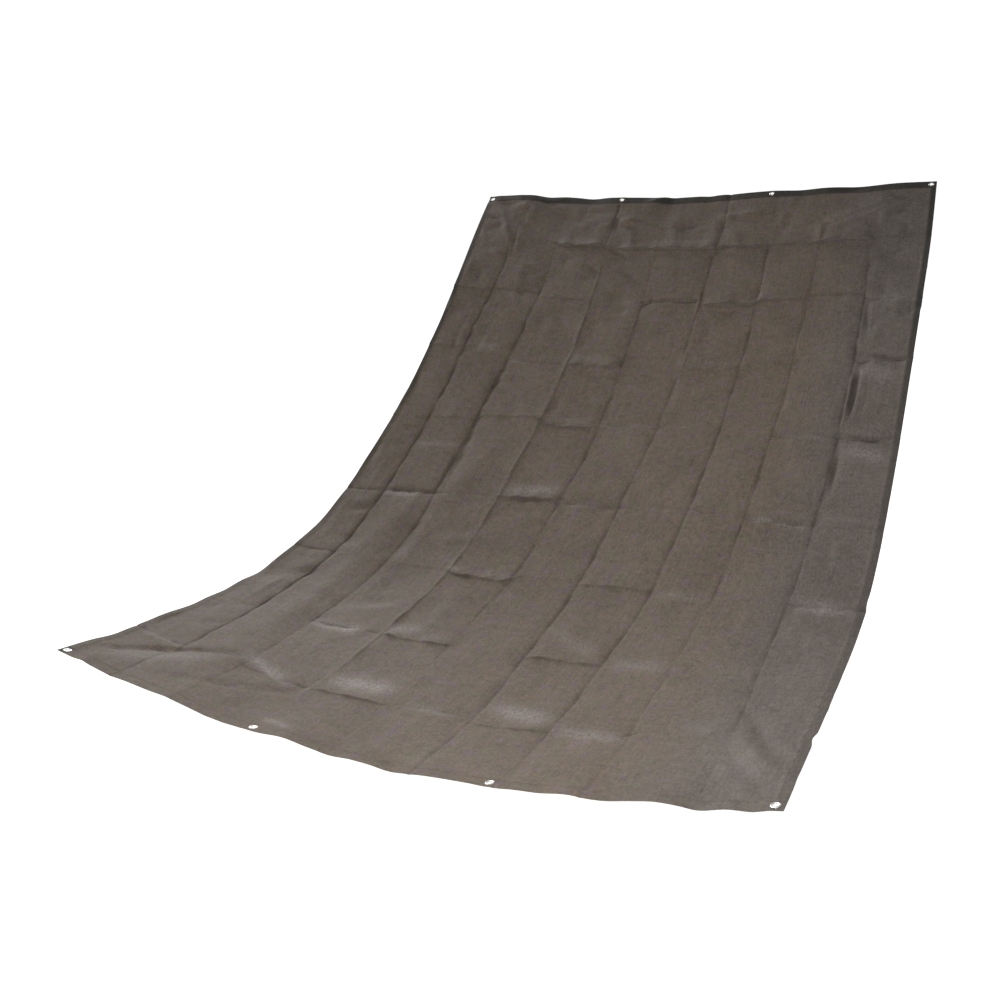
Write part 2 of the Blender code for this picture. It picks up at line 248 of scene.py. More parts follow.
EDGE_BENDS = (
    EdgeBend(Rim.TOP, 0.10, 0.0, 5.0, 50.0),
    EdgeBend(Rim.TOP, 1.40, 0.0, -9.0, 60.0),
    EdgeBend(Rim.TOP, 2.40, 0.0, -7.0, 60.0),
    EdgeBend(Rim.TOP, 4.00, 0.0, -3.0, 40.0),
    EdgeBend(Rim.TOP, 4.85, 0.0, -4.0, 30.0),
    EdgeBend(Rim.TOP, 6.60, 0.0, -5.0, 70.0),
    EdgeBend(Rim.TOP, 7.75, 0.0, -7.0, 90.0),
    EdgeBend(Rim.LEFT, 4.95, 0.0, -6.0, 60.0),
    EdgeBend(Rim.LEFT, 5.60, 0.0, -7.0, 90.0),
    EdgeBend(Rim.LEFT, 6.55, 0.0, -11.0, 60.0),
    EdgeBend(Rim.LEFT, 7.00, 0.0, -7.0, 60.0),
    EdgeBend(Rim.LEFT, 7.40, 0.0, -5.0, 60.0),
    EdgeBend(Rim.LEFT, 8.40, 0.0, -6.0, 60.0),
    EdgeBend(Rim.RIGHT, 6.00, -2.0, 0.0, 30.0),
    EdgeBend(Rim.RIGHT, 7.00, 4.0, 0.0, 260.0),
    EdgeBend(Rim.RIGHT, 8.10, -6.0, 0.0, 22.0),
    EdgeBend(Rim.FOOT, 0.85, 0.0, -3.0, 50.0),
    EdgeBend(Rim.FOOT, 1.80, 0.0, 3.0, 40.0),
    EdgeBend(Rim.FOOT, 2.50, 0.0, -6.0, 70.0),
    EdgeBend(Rim.FOOT, 3.50, 0.0, 9.0, 60.0),
    EdgeBend(Rim.FOOT, 4.15, 0.0, -4.0, 35.0),
    EdgeBend(Rim.FOOT, 4.92, 0.0, -7.0, 45.0),
    EdgeBend(Rim.FOOT, 5.60, 0.0, 4.0, 110.0),
    EdgeBend(Rim.FOOT, 6.65, 0.0, -5.0, 50.0),
    EdgeBend(Rim.FOOT, 7.28, 0.0, -10.0, 70.0),
    EdgeBend(Rim.FOOT, 7.80, 0.0, 2.0, 30.0),
    EdgeBend(Rim.FOOT, 8.25, 0.0, -8.0, 40.0),
    EdgeBend(Rim.FOOT, 8.72, 0.0, -5.0, 40.0),
)

# Waves of a crease's line, and of its height
WANDERING = (Waver(5.3, 2.1, 1.0), Waver(11.7, 4.4, 0.6))
UNEVENNESS = (Waver(8.9, 1.7, 1.0), Waver(21.3, 5.1, 1.0))

# Small ripples: their kinds, and the ranges of their starts in a panel, of their length in
# metres, and of their height and half width in millimetres
RIPPLES = (Ripple(0.0, 15.0, 4), Ripple(90.0, 6.0, 2))
RIPPLE_ACROSS = (0.05, 0.55)
RIPPLE_ALONG = (0.05, 0.85)
RIPPLE_LENGTH = (0.09, 0.21)
RIPPLE_HEIGHT = (0.8, 2.6)
RIPPLE_WIDTH = (9.0, 20.0)

# How lively the small ripples are, panel by panel from the left and from the top
ACROSS_LIFE = (1.5, 1.2, 1.3, 1.8, 0.9, 1.5, 0.9, 0.8, 1.5)
ALONG_LIFE = (2.4, 2.1, 1.9, 1.7, 1.5, 1.2, 1.1, 1.1, 1.1)

# Creases that run from the top edge to the foot, from the left
LENGTHWISE = (
    Crease((-33, -18, -50, -55, -55, -47, -44, -33, -22), (-1, -4, -8, -8, -8, -7, -6, -4, -2)),
    Crease((-22, -16, -38, -64, -56, -40, -42, -44, -33), (-1, -2, -7, -10, -9, -5, -3, -2, -1)),
    Crease((2, -2, 0, -2, -4, -2, -9, -13, -15), (-5, 3, 6, 5, 6, 5, 5, 3, -1)),
    Crease((11, 11, 13, 18, 24, 11, 2, 4, 4), (-1, -2, -5, -5, -6, -4, -3, -1, -1)),
    Crease((58, 40, 33, 33, 24, 13, 22, 31, 31), (-4, -5, -4, -4, -4, -6, -6, -4, -3)),
    Crease((40, 44, 47, 42, 44, 38, 38, 33, 31), (-1, -4, -5, -5, -6, -5, -5, -4, -3)),
    Crease((33, 27, 18, 18, 11, 11, 9, 7, 18), (-1, -3, -4, -3, -5, -4, -2, -3, -2)),
    Crease((11, 7, 16, 18, 16, 9, 11, 30, 40), (0, -3, -6, -7, -6, -4, -4, -3, -1)),
)

# Creases that run from side to side, from the top
CROSSWISE = (
    Crease((0, -30, -2, 11, 13, 7, 2, -4, -12), (0, 2, 12, 8, 13, 8, 4, 12, -3), 2.0),
    Crease((-27, -40, -18, 10, -22, 0, -22, -45, -4), (6, -4, 4, 3, -8, 13, 6, -5, -4), 1.7),
    Crease((-38, -50, 4, 4, -55, 0, -40, -51, -30), (5, 4, -4, 11, -3, 8, 4, 3, -8)),
    Crease((0, -11, -38, -2, -29, -38, -11, -20, -7), (2, 3, 5, 11, -6, -3, -2, -6, -9)),
    Crease((38, 31, 30, 27, 33, 29, 29, 33, 40), (-4, -9, -2, 9, -5, -4, -3, -8, 4)),
    Crease((18, 20, 20, 45, 11, 22, 33, 30, 33), (-3, 1, 2, 7, 2, 6, -2, 2, -7)),
    Crease((45, 45, 45, 45, 35, 42, 22, 55, 40), (-1, 1, -5, 6, 1, 6, -2, -1, 1)),
    Crease((44, 40, 45, 40, 15, 40, 33, 2, 0), (-3, 0, -4, 6, -3, 5, -4, -2, -1)),
)

FOLDS = (
    # Pulls from the top left corner
    Fold(0.15, 0.08, 39.0, 0.560, -6.0, 18.0),
    Fold(0.30, 0.05, 24.0, 0.420, 6.0, 22.0),
    Fold(0.30, 0.13, 65.0, 0.430, 4.0, 15.0),
    Fold(0.45, 0.20, 68.0, 0.340, -3.5, 14.0),
    Fold(1.00, 0.17, 21.8, 0.480, -8.0, 22.0),
    Fold(2.45, 0.42, 8.0, 0.300, 7.0, 26.0),
    Fold(3.20, 0.30, 5.0, 0.260, -6.0, 22.0),
    Fold(4.10, 0.62, -6.0, 0.200, -5.0, 18.0),
    Fold(5.25, 0.42, -4.0, 0.240, 5.0, 20.0),
    Fold(1.20, 0.73, 23.0, 0.180, 5.0, 10.0),
    Fold(0.93, 0.60, 86.0, 0.230, -4.0, 7.0),
    Fold(1.03, 0.66, 86.0, 0.200, 3.5, 7.0),
    Fold(1.12, 0.70, 84.0, 0.220, -3.0, 7.0),
    # Pulls from the top right corner
    Fold(8.85, 0.08, 143.0, 0.500, -5.0, 20.0),
    Fold(8.60, 0.25, 157.0, 0.420, 8.0, 24.0),
    Fold(8.75, 0.95, 232.0, 0.130, -4.0, 8.0),
    # Small breaks of the first and second rows
    Fold(3.00, 1.03, 27.0, 0.130, -7.0, 11.0),
    Fold(3.20, 0.90, -3.0, 0.170, -5.0, 7.0),
    Fold(1.95, 1.07, 37.0, 0.130, -4.5, 7.0),
    Fold(0.92, 1.82, -10.0, 0.110, 4.0, 7.0),
    Fold(1.25, 1.77, 42.0, 0.140, -5.0, 7.0),
    Fold(4.02, 2.02, -46.0, 0.110, -5.0, 7.0),
    Fold(4.25, 1.85, -17.0, 0.130, -4.5, 7.0),
    Fold(4.65, 1.76, 26.0, 0.110, -4.0, 7.0),
    Fold(5.70, 1.42, -42.0, 0.110, -4.0, 7.0),
    Fold(6.15, 1.00, 70.0, 0.070, -4.0, 8.0),
    Fold(3.50, 1.80, 60.0, 0.150, -5.0, 16.0),
    Fold(3.75, 1.95, 75.0, 0.110, 6.0, 14.0),
    Fold(3.02, 2.20, 12.0, 0.200, -4.0, 12.0),
    Fold(6.35, 2.45, -28.0, 0.150, 3.0, 9.0),
    Fold(2.20, 2.00, 80.0, 0.330, 3.0, 14.0),
    # Hooked end of a crease
    Fold(3.68, 2.83, 8.0, 0.080, -6.0, 7.0),
    Fold(3.92, 2.82, 55.0, 0.060, -7.0, 7.0),
    # Pinched folds beside the right side
    Fold(8.10, 1.95, 84.0, 0.260, -8.0, 8.0),
    Fold(8.20, 2.00, 90.0, 0.240, 5.0, 8.0),
    Fold(8.17, 2.95, 90.0, 0.280, -21.0, 9.5),
    Fold(8.11, 2.93, 90.0, 0.320, 8.0, 9.0),
    Fold(8.28, 3.00, 92.0, 0.280, 7.0, 14.0),
    Fold(8.13, 4.05, 90.0, 0.240, -10.0, 8.0),
    Fold(8.02, 2.78, 13.0, 0.210, -8.0, 11.0),
    Fold(8.02, 2.95, 35.0, 0.120, 6.0, 12.0),
    Fold(8.05, 3.88, 17.0, 0.210, -8.0, 11.0),
    # Trough beside the second crease
    Fold(1.72, 2.80, 90.0, 0.330, -8.0, 15.0),
    Fold(1.72, 3.90, 84.0, 0.420, -8.0, 15.0),
    # Extra row of creases between the fourth and the fifth
    Fold(0.05, 4.40, 2.0, 0.170, -4.0, 9.0),
    Fold(0.80, 4.33, 10.0, 0.130, -4.0, 7.0),
    Fold(1.25, 4.39, -8.0, 0.110, -4.0, 7.0),
    Fold(4.25, 4.35, 1.0, 0.190, -2.5, 7.0),
    Fold(5.15, 4.35, 9.0, 0.190, -3.0, 7.0),
    Fold(6.20, 4.38, -2.0, 0.170, -2.5, 7.0),
    Fold(7.10, 4.36, 1.0, 0.190, -2.5, 7.0),
    # Doubled creases of the third panel
    Fold(3.00, 5.12, -2.0, 0.250, -5.0, 9.0),
    Fold(3.25, 5.27, -4.0, 0.180, -4.0, 7.0),
    Fold(3.00, 6.10, 18.0, 0.120, -4.0, 8.0),
    Fold(3.55, 6.17, -16.0, 0.110, -4.0, 8.0),
    # Swell of the first whole panel
    Fold(1.36, 5.05, 90.0, 1.150, 8.0, 58.0),
    # Long soft folds of the second panel
    Fold(2.45, 4.10, 99.0, 0.620, 5.0, 38.0),
    Fold(2.05, 5.05, 92.0, 0.420, 4.0, 22.0),
    Fold(1.90, 6.90, -18.0, 0.230, 4.0, 12.0),
    Fold(1.90, 6.62, -16.0, 0.220, 3.0, 10.0),
    Fold(5.35, 6.68, 32.0, 0.190, -5.0, 14.0),
    Fold(5.65, 6.75, 42.0, 0.150, 4.0, 12.0),
    # Wedge that the bottom left corner pulls up
    Fold(0.12, 8.75, -47.0, 0.230, -10.0, 13.0),
    Fold(0.45, 8.45, -36.0, 0.240, -10.0, 13.0),
    Fold(0.95, 8.18, -24.0, 0.230, -9.0, 12.0),
    Fold(0.30, 8.80, -36.0, 0.420, 8.0, 40.0),
    Fold(0.80, 8.85, -23.0, 0.560, -6.0, 16.0),
    Fold(1.68, 7.95, 20.0, 0.230, -8.0, 14.0),
    Fold(1.95, 8.27, -5.0, 0.260, 4.0, 14.0),
    # Pulls to the bottom right corner
    Fold(8.00, 7.45, 62.0, 0.420, -8.0, 15.0),
    Fold(8.15, 7.90, 60.0, 0.320, 5.0, 18.0),
    Fold(8.85, 8.88, -125.0, 0.300, -7.0, 24.0),
    Fold(7.10, 8.12, -8.0, 0.170, -4.0, 9.0),
    Fold(7.60, 8.02, -50.0, 0.090, -4.0, 9.0),
)

# Zones of painted highlight where the net glints; the net is also made a little glossier there
PAINTED_GLINTS = (
    PaintedGlint(1.10, 5.12, 80.0, 13.0, 0.0, 1.00),
    PaintedGlint(3.55, 4.97, 100.0, 22.0, -5.0, 0.75),
    PaintedGlint(3.20, 7.00, 50.0, 24.0, -15.0, 0.70),
    PaintedGlint(3.70, 7.05, 50.0, 14.0, -8.0, 0.35),
    PaintedGlint(2.28, 7.15, 95.0, 20.0, 0.0, 0.85),
    PaintedGlint(2.30, 6.74, 90.0, 13.0, -18.0, 0.35),
    PaintedGlint(2.10, 8.03, 95.0, 22.0, 18.0, 0.85),
    PaintedGlint(3.45, 7.90, 95.0, 34.0, -5.0, 1.00),
    PaintedGlint(1.00, 8.45, 140.0, 45.0, -36.0, 0.50),
    PaintedGlint(4.55, 8.05, 70.0, 13.0, 4.0, 0.50),
    PaintedGlint(5.65, 7.90, 85.0, 34.0, 12.0, 0.90),
    PaintedGlint(6.62, 8.11, 90.0, 22.0, 8.0, 0.85),
    PaintedGlint(6.60, 7.08, 80.0, 26.0, 5.0, 0.50),
    PaintedGlint(5.60, 6.85, 95.0, 20.0, 32.0, 0.50),
    PaintedGlint(8.50, 6.12, 85.0, 24.0, 5.0, 0.90),
    PaintedGlint(8.50, 4.17, 75.0, 30.0, 12.0, 0.75),
    PaintedGlint(8.42, 3.07, 70.0, 34.0, 25.0, 0.65),
    PaintedGlint(8.50, 1.98, 80.0, 22.0, 3.0, 0.55),
    PaintedGlint(8.60, 2.30, 45.0, 18.0, 0.0, 0.25),
    PaintedGlint(8.50, 5.00, 80.0, 12.0, 0.0, 0.35),
    PaintedGlint(7.28, 5.09, 38.0, 9.0, 0.0, 0.95),
    PaintedGlint(7.70, 5.12, 60.0, 8.0, 2.0, 0.60),
    PaintedGlint(1.30, 2.85, 50.0, 20.0, 0.0, 0.50),
    PaintedGlint(1.55, 1.98, 28.0, 13.0, 25.0, 0.60),
    PaintedGlint(2.05, 3.02, 48.0, 12.0, 5.0, 0.40),
    PaintedGlint(3.40, 1.04, 28.0, 16.0, 0.0, 0.40),
    PaintedGlint(2.40, 0.92, 100.0, 14.0, 4.0, 0.40),
    PaintedGlint(4.55, 0.92, 120.0, 13.0, 0.0, 0.40),
    PaintedGlint(3.85, 2.07, 26.0, 32.0, 10.0, 0.40),
    PaintedGlint(3.35, 2.90, 80.0, 13.0, 0.0, 0.40),
    PaintedGlint(3.50, 3.89, 105.0, 12.0, 0.0, 0.35),
    PaintedGlint(4.60, 3.91, 110.0, 7.0, -2.0, 0.50),
    PaintedGlint(5.60, 3.88, 90.0, 7.0, 0.0, 0.25),
    PaintedGlint(7.55, 3.95, 90.0, 6.0, 2.0, 0.40),
    PaintedGlint(1.25, 4.39, 85.0, 6.0, 0.0, 0.45),
    PaintedGlint(3.07, 6.07, 22.0, 13.0, 0.0, 0.75),
    PaintedGlint(3.75, 6.07, 50.0, 15.0, 0.0, 0.45),
    PaintedGlint(2.00, 5.90, 28.0, 50.0, 0.0, 0.30),
    PaintedGlint(6.60, 6.10, 80.0, 15.0, 0.0, 0.40),
    PaintedGlint(0.45, 8.14, 70.0, 13.0, 0.0, 0.45),
    PaintedGlint(3.15, 8.78, 50.0, 14.0, 10.0, 0.65),
    PaintedGlint(7.75, 7.93, 45.0, 26.0, 0.0, 0.30),
    PaintedGlint(8.30, 8.45, 45.0, 60.0, -25.0, 0.30),
    PaintedGlint(7.70, 0.58, 150.0, 30.0, -23.0, 0.35),
    PaintedGlint(4.45, 5.10, 75.0, 7.0, -8.0, 0.45),
    PaintedGlint(5.60, 5.08, 100.0, 5.0, 2.0, 0.40),
)

BILLOWS = (
    Billow(2.2, 1.3, 2.1, 20.0),
    Billow(1.6, 2.6, -1.7, 140.0),
    Billow(1.3, 3.9, 3.1, 255.0),
    Billow(0.9, -5.3, 4.3, 75.0),
    Billow(0.6, 8.1, 6.7, 310.0),
)


def spline(values: Sequence[float], places: Number) -> np.ndarray:
    """Natural cubic curve through values at 0, 1, 2 and on.

    Args:
        values: The values at the whole numbers.
        places: Where the curve is read.

    Returns:
        The curve's values at the places.
    """
    knots = np.asarray(values, float)
    count = len(knots)
    matrix = np.zeros((count, count))
    right_side = np.zeros(count)
    matrix[0, 0] = 1.0
    matrix[-1, -1] = 1.0
    for row in range(1, count - 1):
        matrix[row, row - 1 : row + 2] = (1.0, 4.0, 1.0)
        right_side[row] = 6.0 * (knots[row - 1] - 2.0 * knots[row] + knots[row + 1])
    bends = np.linalg.solve(matrix, right_side)
    where = np.asarray(places, float)
    cell = np.clip(where.astype(int), 0, count - 2)
    after = where - cell
    before = 1.0 - after
    straight = before * knots[cell] + after * knots[cell + 1]
    curved = (before**3 - before) * bends[cell] + (after**3 - after) * bends[cell + 1]
    return straight + curved / 6.0


def by_panel(values: Sequence[float], places: Number, ease: float) -> np.ndarray:
    """Values held across each panel and eased over the creases between panels.

    Args:
        values: One value for each panel.
        places: Where they are read, in panels.
        ease: The share of a panel, on each side of a crease, over which a value changes.

    Returns:
        The eased values at the places.
    """
    knots = []
    levels = []
    for number, value in enumerate(values):
        knots += [number + ease, number + 1.0 - ease]
        levels += [float(value), float(value)]
    return np.interp(places, knots, levels)


def wavy(waves: Sequence[Waver], run: np.ndarray, number: int) -> np.ndarray:
    """Sum of some waves along a crease.

    Args:
        waves: The waves.
        run: Places along the crease, in panels.
        number: The crease's number in its family.

    Returns:
        The sum at the places.
    """
    return sum(wave.strength * np.sin(run * wave.rate + number * wave.shift) for wave in waves)


@dataclass
class ClothForm:
    """The hanging cloth as a surface, with its creases, pulls, folds and eyelet pads."""

    width: float = 2.0
    length: float = 3.0
    hem: float = 0.040
    hem_taper: float = 0.003
    wave_reach: float = 0.25
    bend_reach: float = 0.11
    gentle_reach: float = 0.055
    lengthwise_steep: float = 0.019
    crosswise_steep: float = 0.011
    # How dark the painted shade lines of each family of creases are
    lengthwise_darkness: float = 0.76
    crosswise_darkness: float = 0.62
    crimp_reach: float = 0.0050
    crimp_share: float = 0.20
    unevenness: float = 0.24
    # Place and width of the painted shade beside creases, and its strength in creases and narrow deep folds
    shade_shift: float = 0.0040
    shade_reach: float = 0.0085
    dark_crease_height: float = 6.0
    dark_fold_height: float = 7.5
    least_dark_fold: float = 3.5
    widest_dark_fold: float = 12.0
    fold_fade: float = 1.4
    ripple_seed: int = 11
    lengthwise_ease: float = 0.42
    crosswise_ease: float = 0.10
    wander: float = 0.0016
    billow_fade: float = 0.15
    billow_at_end: float = 0.15
    normal_step: float = 0.01
    profile_steps: int = 180
    eyelet_inset: float = 0.020
    stations: tuple = (0.020, 0.673, 1.347, 1.980)
    pad_flat: float = 0.0150
    pad_fade: float = 0.0400

    def __post_init__(self) -> None:
        """Work out the panels, creases, side profiles, origin and the eyelets' frames."""
        self.panel_width = self.width / PANELS
        self.panel_length = self.length / PANELS
        self.lengthwise = Family(
            LENGTHWISE,
            self.panel_width,
            self.lengthwise_ease,
            self.lengthwise_steep,
            self.lengthwise_darkness,
        )
        self.crosswise = Family(
            CROSSWISE,
            self.panel_length,
            self.crosswise_ease,
            self.crosswise_steep,
            self.crosswise_darkness,
        )
        self.left_run = self.side_run([row.slope_left for row in SECTIONS])
        self.right_run = self.side_run([row.slope_right for row in SECTIONS])
        top_shift = (SECTIONS[0].in_left - SECTIONS[0].in_right) / 2.0
        self.top_middle = self.from_corners(PANELS / 2.0, 0.0) * (0.0, 0.0, 1.0) + (top_shift, 0.0, 0.0)
        self.ripples = self.ripple_folds()
        self.frames = {end: [self.frame(*place) for place in self.eyelet_places(end)] for end in End}

    def side_run(self, slopes: Sequence[float]) -> Frame:
        """Profile of one side from its slopes and its true length.

        Args:
            slopes: The side's slope in degrees at each ninth.

        Returns:
            Places in panels, and the reach forward and the height there.
        """
        places = np.linspace(0.0, PANELS, self.profile_steps + 1)
        angles = np.radians(spline(slopes, places))
        angles = (angles[1:] + angles[:-1]) / 2.0
        step = self.length / self.profile_steps
        forward = np.concatenate(([0.0], np.cumsum(-np.cos(angles) * step)))
        height = np.concatenate(([0.0], np.cumsum(-np.sin(angles) * step)))
        return places, forward, height

    def drift(self, family: Family, index: np.ndarray, run: np.ndarray) -> np.ndarray:
        """How far the cloth beside a family of creases lies off even ninths.

        Args:
            family: The creases.
            index: Places across the family, in panels.
            run: Places along the creases, in panels.

        Returns:
            The drift in panels, none of it in a hem.
        """
        hem = (self.hem + self.hem_taper) / family.size
        knots = [0.0, hem, *range(1, PANELS), PANELS - hem, PANELS]
        total = np.zeros(np.broadcast(index, run).shape)
        for number, crease in enumerate(family.creases, start=1):
            weight = np.interp(index, knots, [float(knot == number) for knot in knots])
            wave = wavy(WANDERING, run, number) * self.wander
            place = by_panel(crease.drift, run, family.ease) * MILLIMETRE + wave
            total = total + weight * place
        return total / family.size

    def flat_place(self, across: Number, along: Number) -> tuple[np.ndarray, np.ndarray]:
        """Places in the flat cloth of panel coordinates that follow the creases.

        Args:
            across: Places across, in panels.
            along: Places along, in panels.

        Returns:
            The places across and along, in even ninths.
        """
        across = np.asarray(across, float)
        along = np.asarray(along, float)
        sideways = across + self.drift(self.lengthwise, across, along)
        endways = along + self.drift(self.crosswise, along, across)
        return sideways, endways

    def from_corners(self, sideways: Number, endways: Number) -> np.ndarray:
        """Points of the smooth cloth, measured from its top corners.

        Args:
            sideways: Flat places across, in panels.
            endways: Flat places along, in panels.

        Returns:
            The points.
        """
        sideways = np.asarray(sideways, float)
        endways = np.asarray(endways, float)
        share = sideways / PANELS
        in_left = spline([row.in_left for row in SECTIONS], endways)
        in_right = spline([row.in_right for row in SECTIONS], endways)
        sag = spline([row.sag for row in SECTIONS], endways)
        left_y = np.interp(endways, self.left_run[0], self.left_run[1])
        left_z = np.interp(endways, self.left_run[0], self.left_run[2])
        right_y = np.interp(endways, self.right_run[0], self.right_run[1])
        right_z = np.interp(endways, self.right_run[0], self.right_run[2])
        x = (in_left - self.width / 2.0) * (1.0 - share) + (self.width / 2.0 - in_right) * share
        y = left_y * (1.0 - share) + right_y * share
        z = left_z * (1.0 - share) + right_z * share - 4.0 * share * (1.0 - share) * sag
        from_top = endways * self.panel_length / self.wave_reach
        from_foot = (PANELS - endways) * self.panel_length / self.wave_reach
        z = z + spline([row.top for row in EDGE_WAVES], sideways) * np.exp(-(from_top**2))
        z = z + spline([row.foot for row in EDGE_WAVES], sideways) * np.exp(-(from_foot**2))
        return np.stack((x, y, z), axis=-1)

    def smooth(self, sideways: Number, endways: Number) -> np.ndarray:
        """Points of the hanging cloth at flat places, without creases, folds and thickness."""
        return self.from_corners(sideways, endways) - self.top_middle

    def normals(self, sideways: Number, endways: Number) -> np.ndarray:
        """Unit normals of the smooth cloth, on the side that faces up and to the viewer.

        Args:
            sideways: Flat places across, in panels.
            endways: Flat places along, in panels.

        Returns:
            The normals.
        """
        step = self.normal_step
        sideways = np.asarray(sideways, float)
        endways = np.asarray(endways, float)
        right = self.smooth(sideways + step, endways) - self.smooth(sideways - step, endways)
        down = self.smooth(sideways, endways + step) - self.smooth(sideways, endways - step)
        normals = np.cross(down, right)
        return normals / np.linalg.norm(normals, axis=-1, keepdims=True)

    def crease_shapes(self, across: np.ndarray, along: np.ndarray) -> tuple[np.ndarray, np.ndarray]:
        """Heights of the packing creases, and the painted shade in their lines.

        The side of a crease that faces up and to the left is gentle and the other one steep.

        Args:
            across: Places in panels.
            along: Places in panels.

        Returns:
            The height in metres, and the painted shade from 0 to about 1.
        """
        height = np.zeros(np.broadcast(across, along).shape)
        shade = np.zeros(height.shape)
        for family, index, run in ((self.lengthwise, across, along), (self.crosswise, along, across)):
            for number, crease in enumerate(family.creases, start=1):
                lift = by_panel(crease.height, run, family.ease)
                lift = lift * (1.0 + self.unevenness * wavy(UNEVENNESS, run, number))
                aside = (index - number) * family.size * np.where(lift < 0.0, -1.0, 1.0)
                reach = np.where(aside > 0.0, family.steep, self.gentle_reach)
                broad = np.exp(-np.abs(aside) / reach)
                crimp = np.exp(-((aside / self.crimp_reach) ** 2))
                profile = broad * (1.0 - self.crimp_share) + crimp * self.crimp_share
                height = height + lift * MILLIMETRE * profile
                # Painted shade: a dark line beside each crease, on its steep side, as strong as the crease
                # is high
                line = np.exp(-(((aside - self.shade_shift) / self.shade_reach) ** 2))
                depth = np.abs(lift) / self.dark_crease_height * family.darkness * crease.dark
                shade = shade + depth * line
        return height, shade

    def fold_shapes(self, sideways: np.ndarray, endways: np.ndarray) -> tuple[np.ndarray, np.ndarray]:
        """Heights of the pulls and folds, and the painted shade in the narrow deep ones.

        Args:
            sideways: Flat places across, in panels.
            endways: Flat places along, in panels.

        Returns:
            The height in metres, and the painted shade from 0 to about 1.
        """
        height = np.zeros(np.broadcast(sideways, endways).shape)
        shade = np.zeros(height.shape)
        for fold in (*FOLDS, *self.ripples):
            heading = math.radians(fold.heading)
            x = (sideways - fold.across) * self.panel_width
            y = (endways - fold.along) * self.panel_length
            forward = x * math.cos(heading) + y * math.sin(heading)
            aside = -x * math.sin(heading) + y * math.cos(heading)
            share = np.clip(forward / fold.length, 0.0, 1.0)
            swell = np.sin(math.pi * share) ** self.fold_fade
            bump = swell * np.exp(-((aside / (fold.width * MILLIMETRE)) ** 2))
            height = height + fold.height * MILLIMETRE * bump
            # Narrow deep folds get painted shade as strong as they are deep
            if fold.height < -self.least_dark_fold and fold.width <= self.widest_dark_fold:
                shade = shade - fold.height / self.dark_fold_height * bump
        return height, shade

    def ripple_folds(self) -> list[Fold]:
        """Small soft ripples of every panel: most run across it and some along it.

        Returns:
            The ripples as folds.
        """
        chance = np.random.default_rng(self.ripple_seed)
        ripples = []
        for row in range(PANELS):
            for column in range(PANELS):
                life = ACROSS_LIFE[column] * ALONG_LIFE[row]
                for kind in RIPPLES:
                    for _ in range(kind.count):
                        ripples.append(
                            Fold(
                                column + chance.uniform(*RIPPLE_ACROSS),
                                row + chance.uniform(*RIPPLE_ALONG),
                                kind.heading + chance.normal(0.0, kind.spread),
                                chance.uniform(*RIPPLE_LENGTH),
                                life * chance.choice((-1.0, 1.0)) * chance.uniform(*RIPPLE_HEIGHT),
                                chance.uniform(*RIPPLE_WIDTH),
                            )
                        )
        return ripples

    def billow_heights(self, sideways: np.ndarray, endways: np.ndarray) -> np.ndarray:
        """Heights of the slow waves that the cloth keeps between its creases.

        Args:
            sideways: Flat places across, in panels.
            endways: Flat places along, in panels.

        Returns:
            The heights in metres, less near the two ends.
        """
        height = np.zeros(np.broadcast(sideways, endways).shape)
        for wave in BILLOWS:
            turn = wave.across * sideways / PANELS + wave.along * endways / PANELS + wave.phase / 360.0
            height = height + wave.height * MILLIMETRE * np.sin(math.tau * turn)
        edge = np.minimum(endways, PANELS - endways) * self.panel_length
        return height * np.clip(edge / self.billow_fade, self.billow_at_end, 1.0)

    def edge_bends(self, sideways: np.ndarray, endways: np.ndarray) -> np.ndarray:
        """How far the small bends of the edges move the cloth beside them.

        Args:
            sideways: Flat places across, in panels.
            endways: Flat places along, in panels.

        Returns:
            The moves in metres.
        """
        width, length = self.panel_width, self.panel_length
        rims = {
            Rim.LEFT: (sideways * width, endways, length, -1.0),
            Rim.RIGHT: ((PANELS - sideways) * width, endways, length, 1.0),
            Rim.TOP: (endways * length, sideways, width, 0.0),
            Rim.FOOT: ((PANELS - endways) * length, sideways, width, 0.0),
        }
        moves = np.zeros((*np.broadcast(sideways, endways).shape, 3))
        for bend in EDGE_BENDS:
            distance, run, size, outward = rims[bend.rim]
            along = (run - bend.place) * size / (bend.half_width * MILLIMETRE)
            share = np.exp(-((distance / self.bend_reach) ** 2) - along**2) * MILLIMETRE
            moves[..., 0] += share * bend.aside * outward
            moves[..., 2] += share * bend.up
        return moves

    def eyelet_places(self, end: End) -> list[tuple[float, float]]:
        """Flat places of the eyelet centres of one end, each at its station and inset."""
        distance = self.eyelet_inset if end is End.TOP else self.length - self.eyelet_inset
        return [(station / self.panel_width, distance / self.panel_length) for station in self.stations]

    def frame(self, across: float, along: float) -> Frame:
        """Frame of an eyelet.

        Args:
            across: Its flat place across, in panels.
            along: Its flat place along, in panels.

        Returns:
            Its centre, and its right and outward directions.
        """
        centre = self.smooth(across, along)
        outward = self.normals(across, along)
        right = self.smooth(across + self.normal_step, along) - centre
        right = right - outward * np.dot(right, outward)
        return centre, right / np.linalg.norm(right), outward

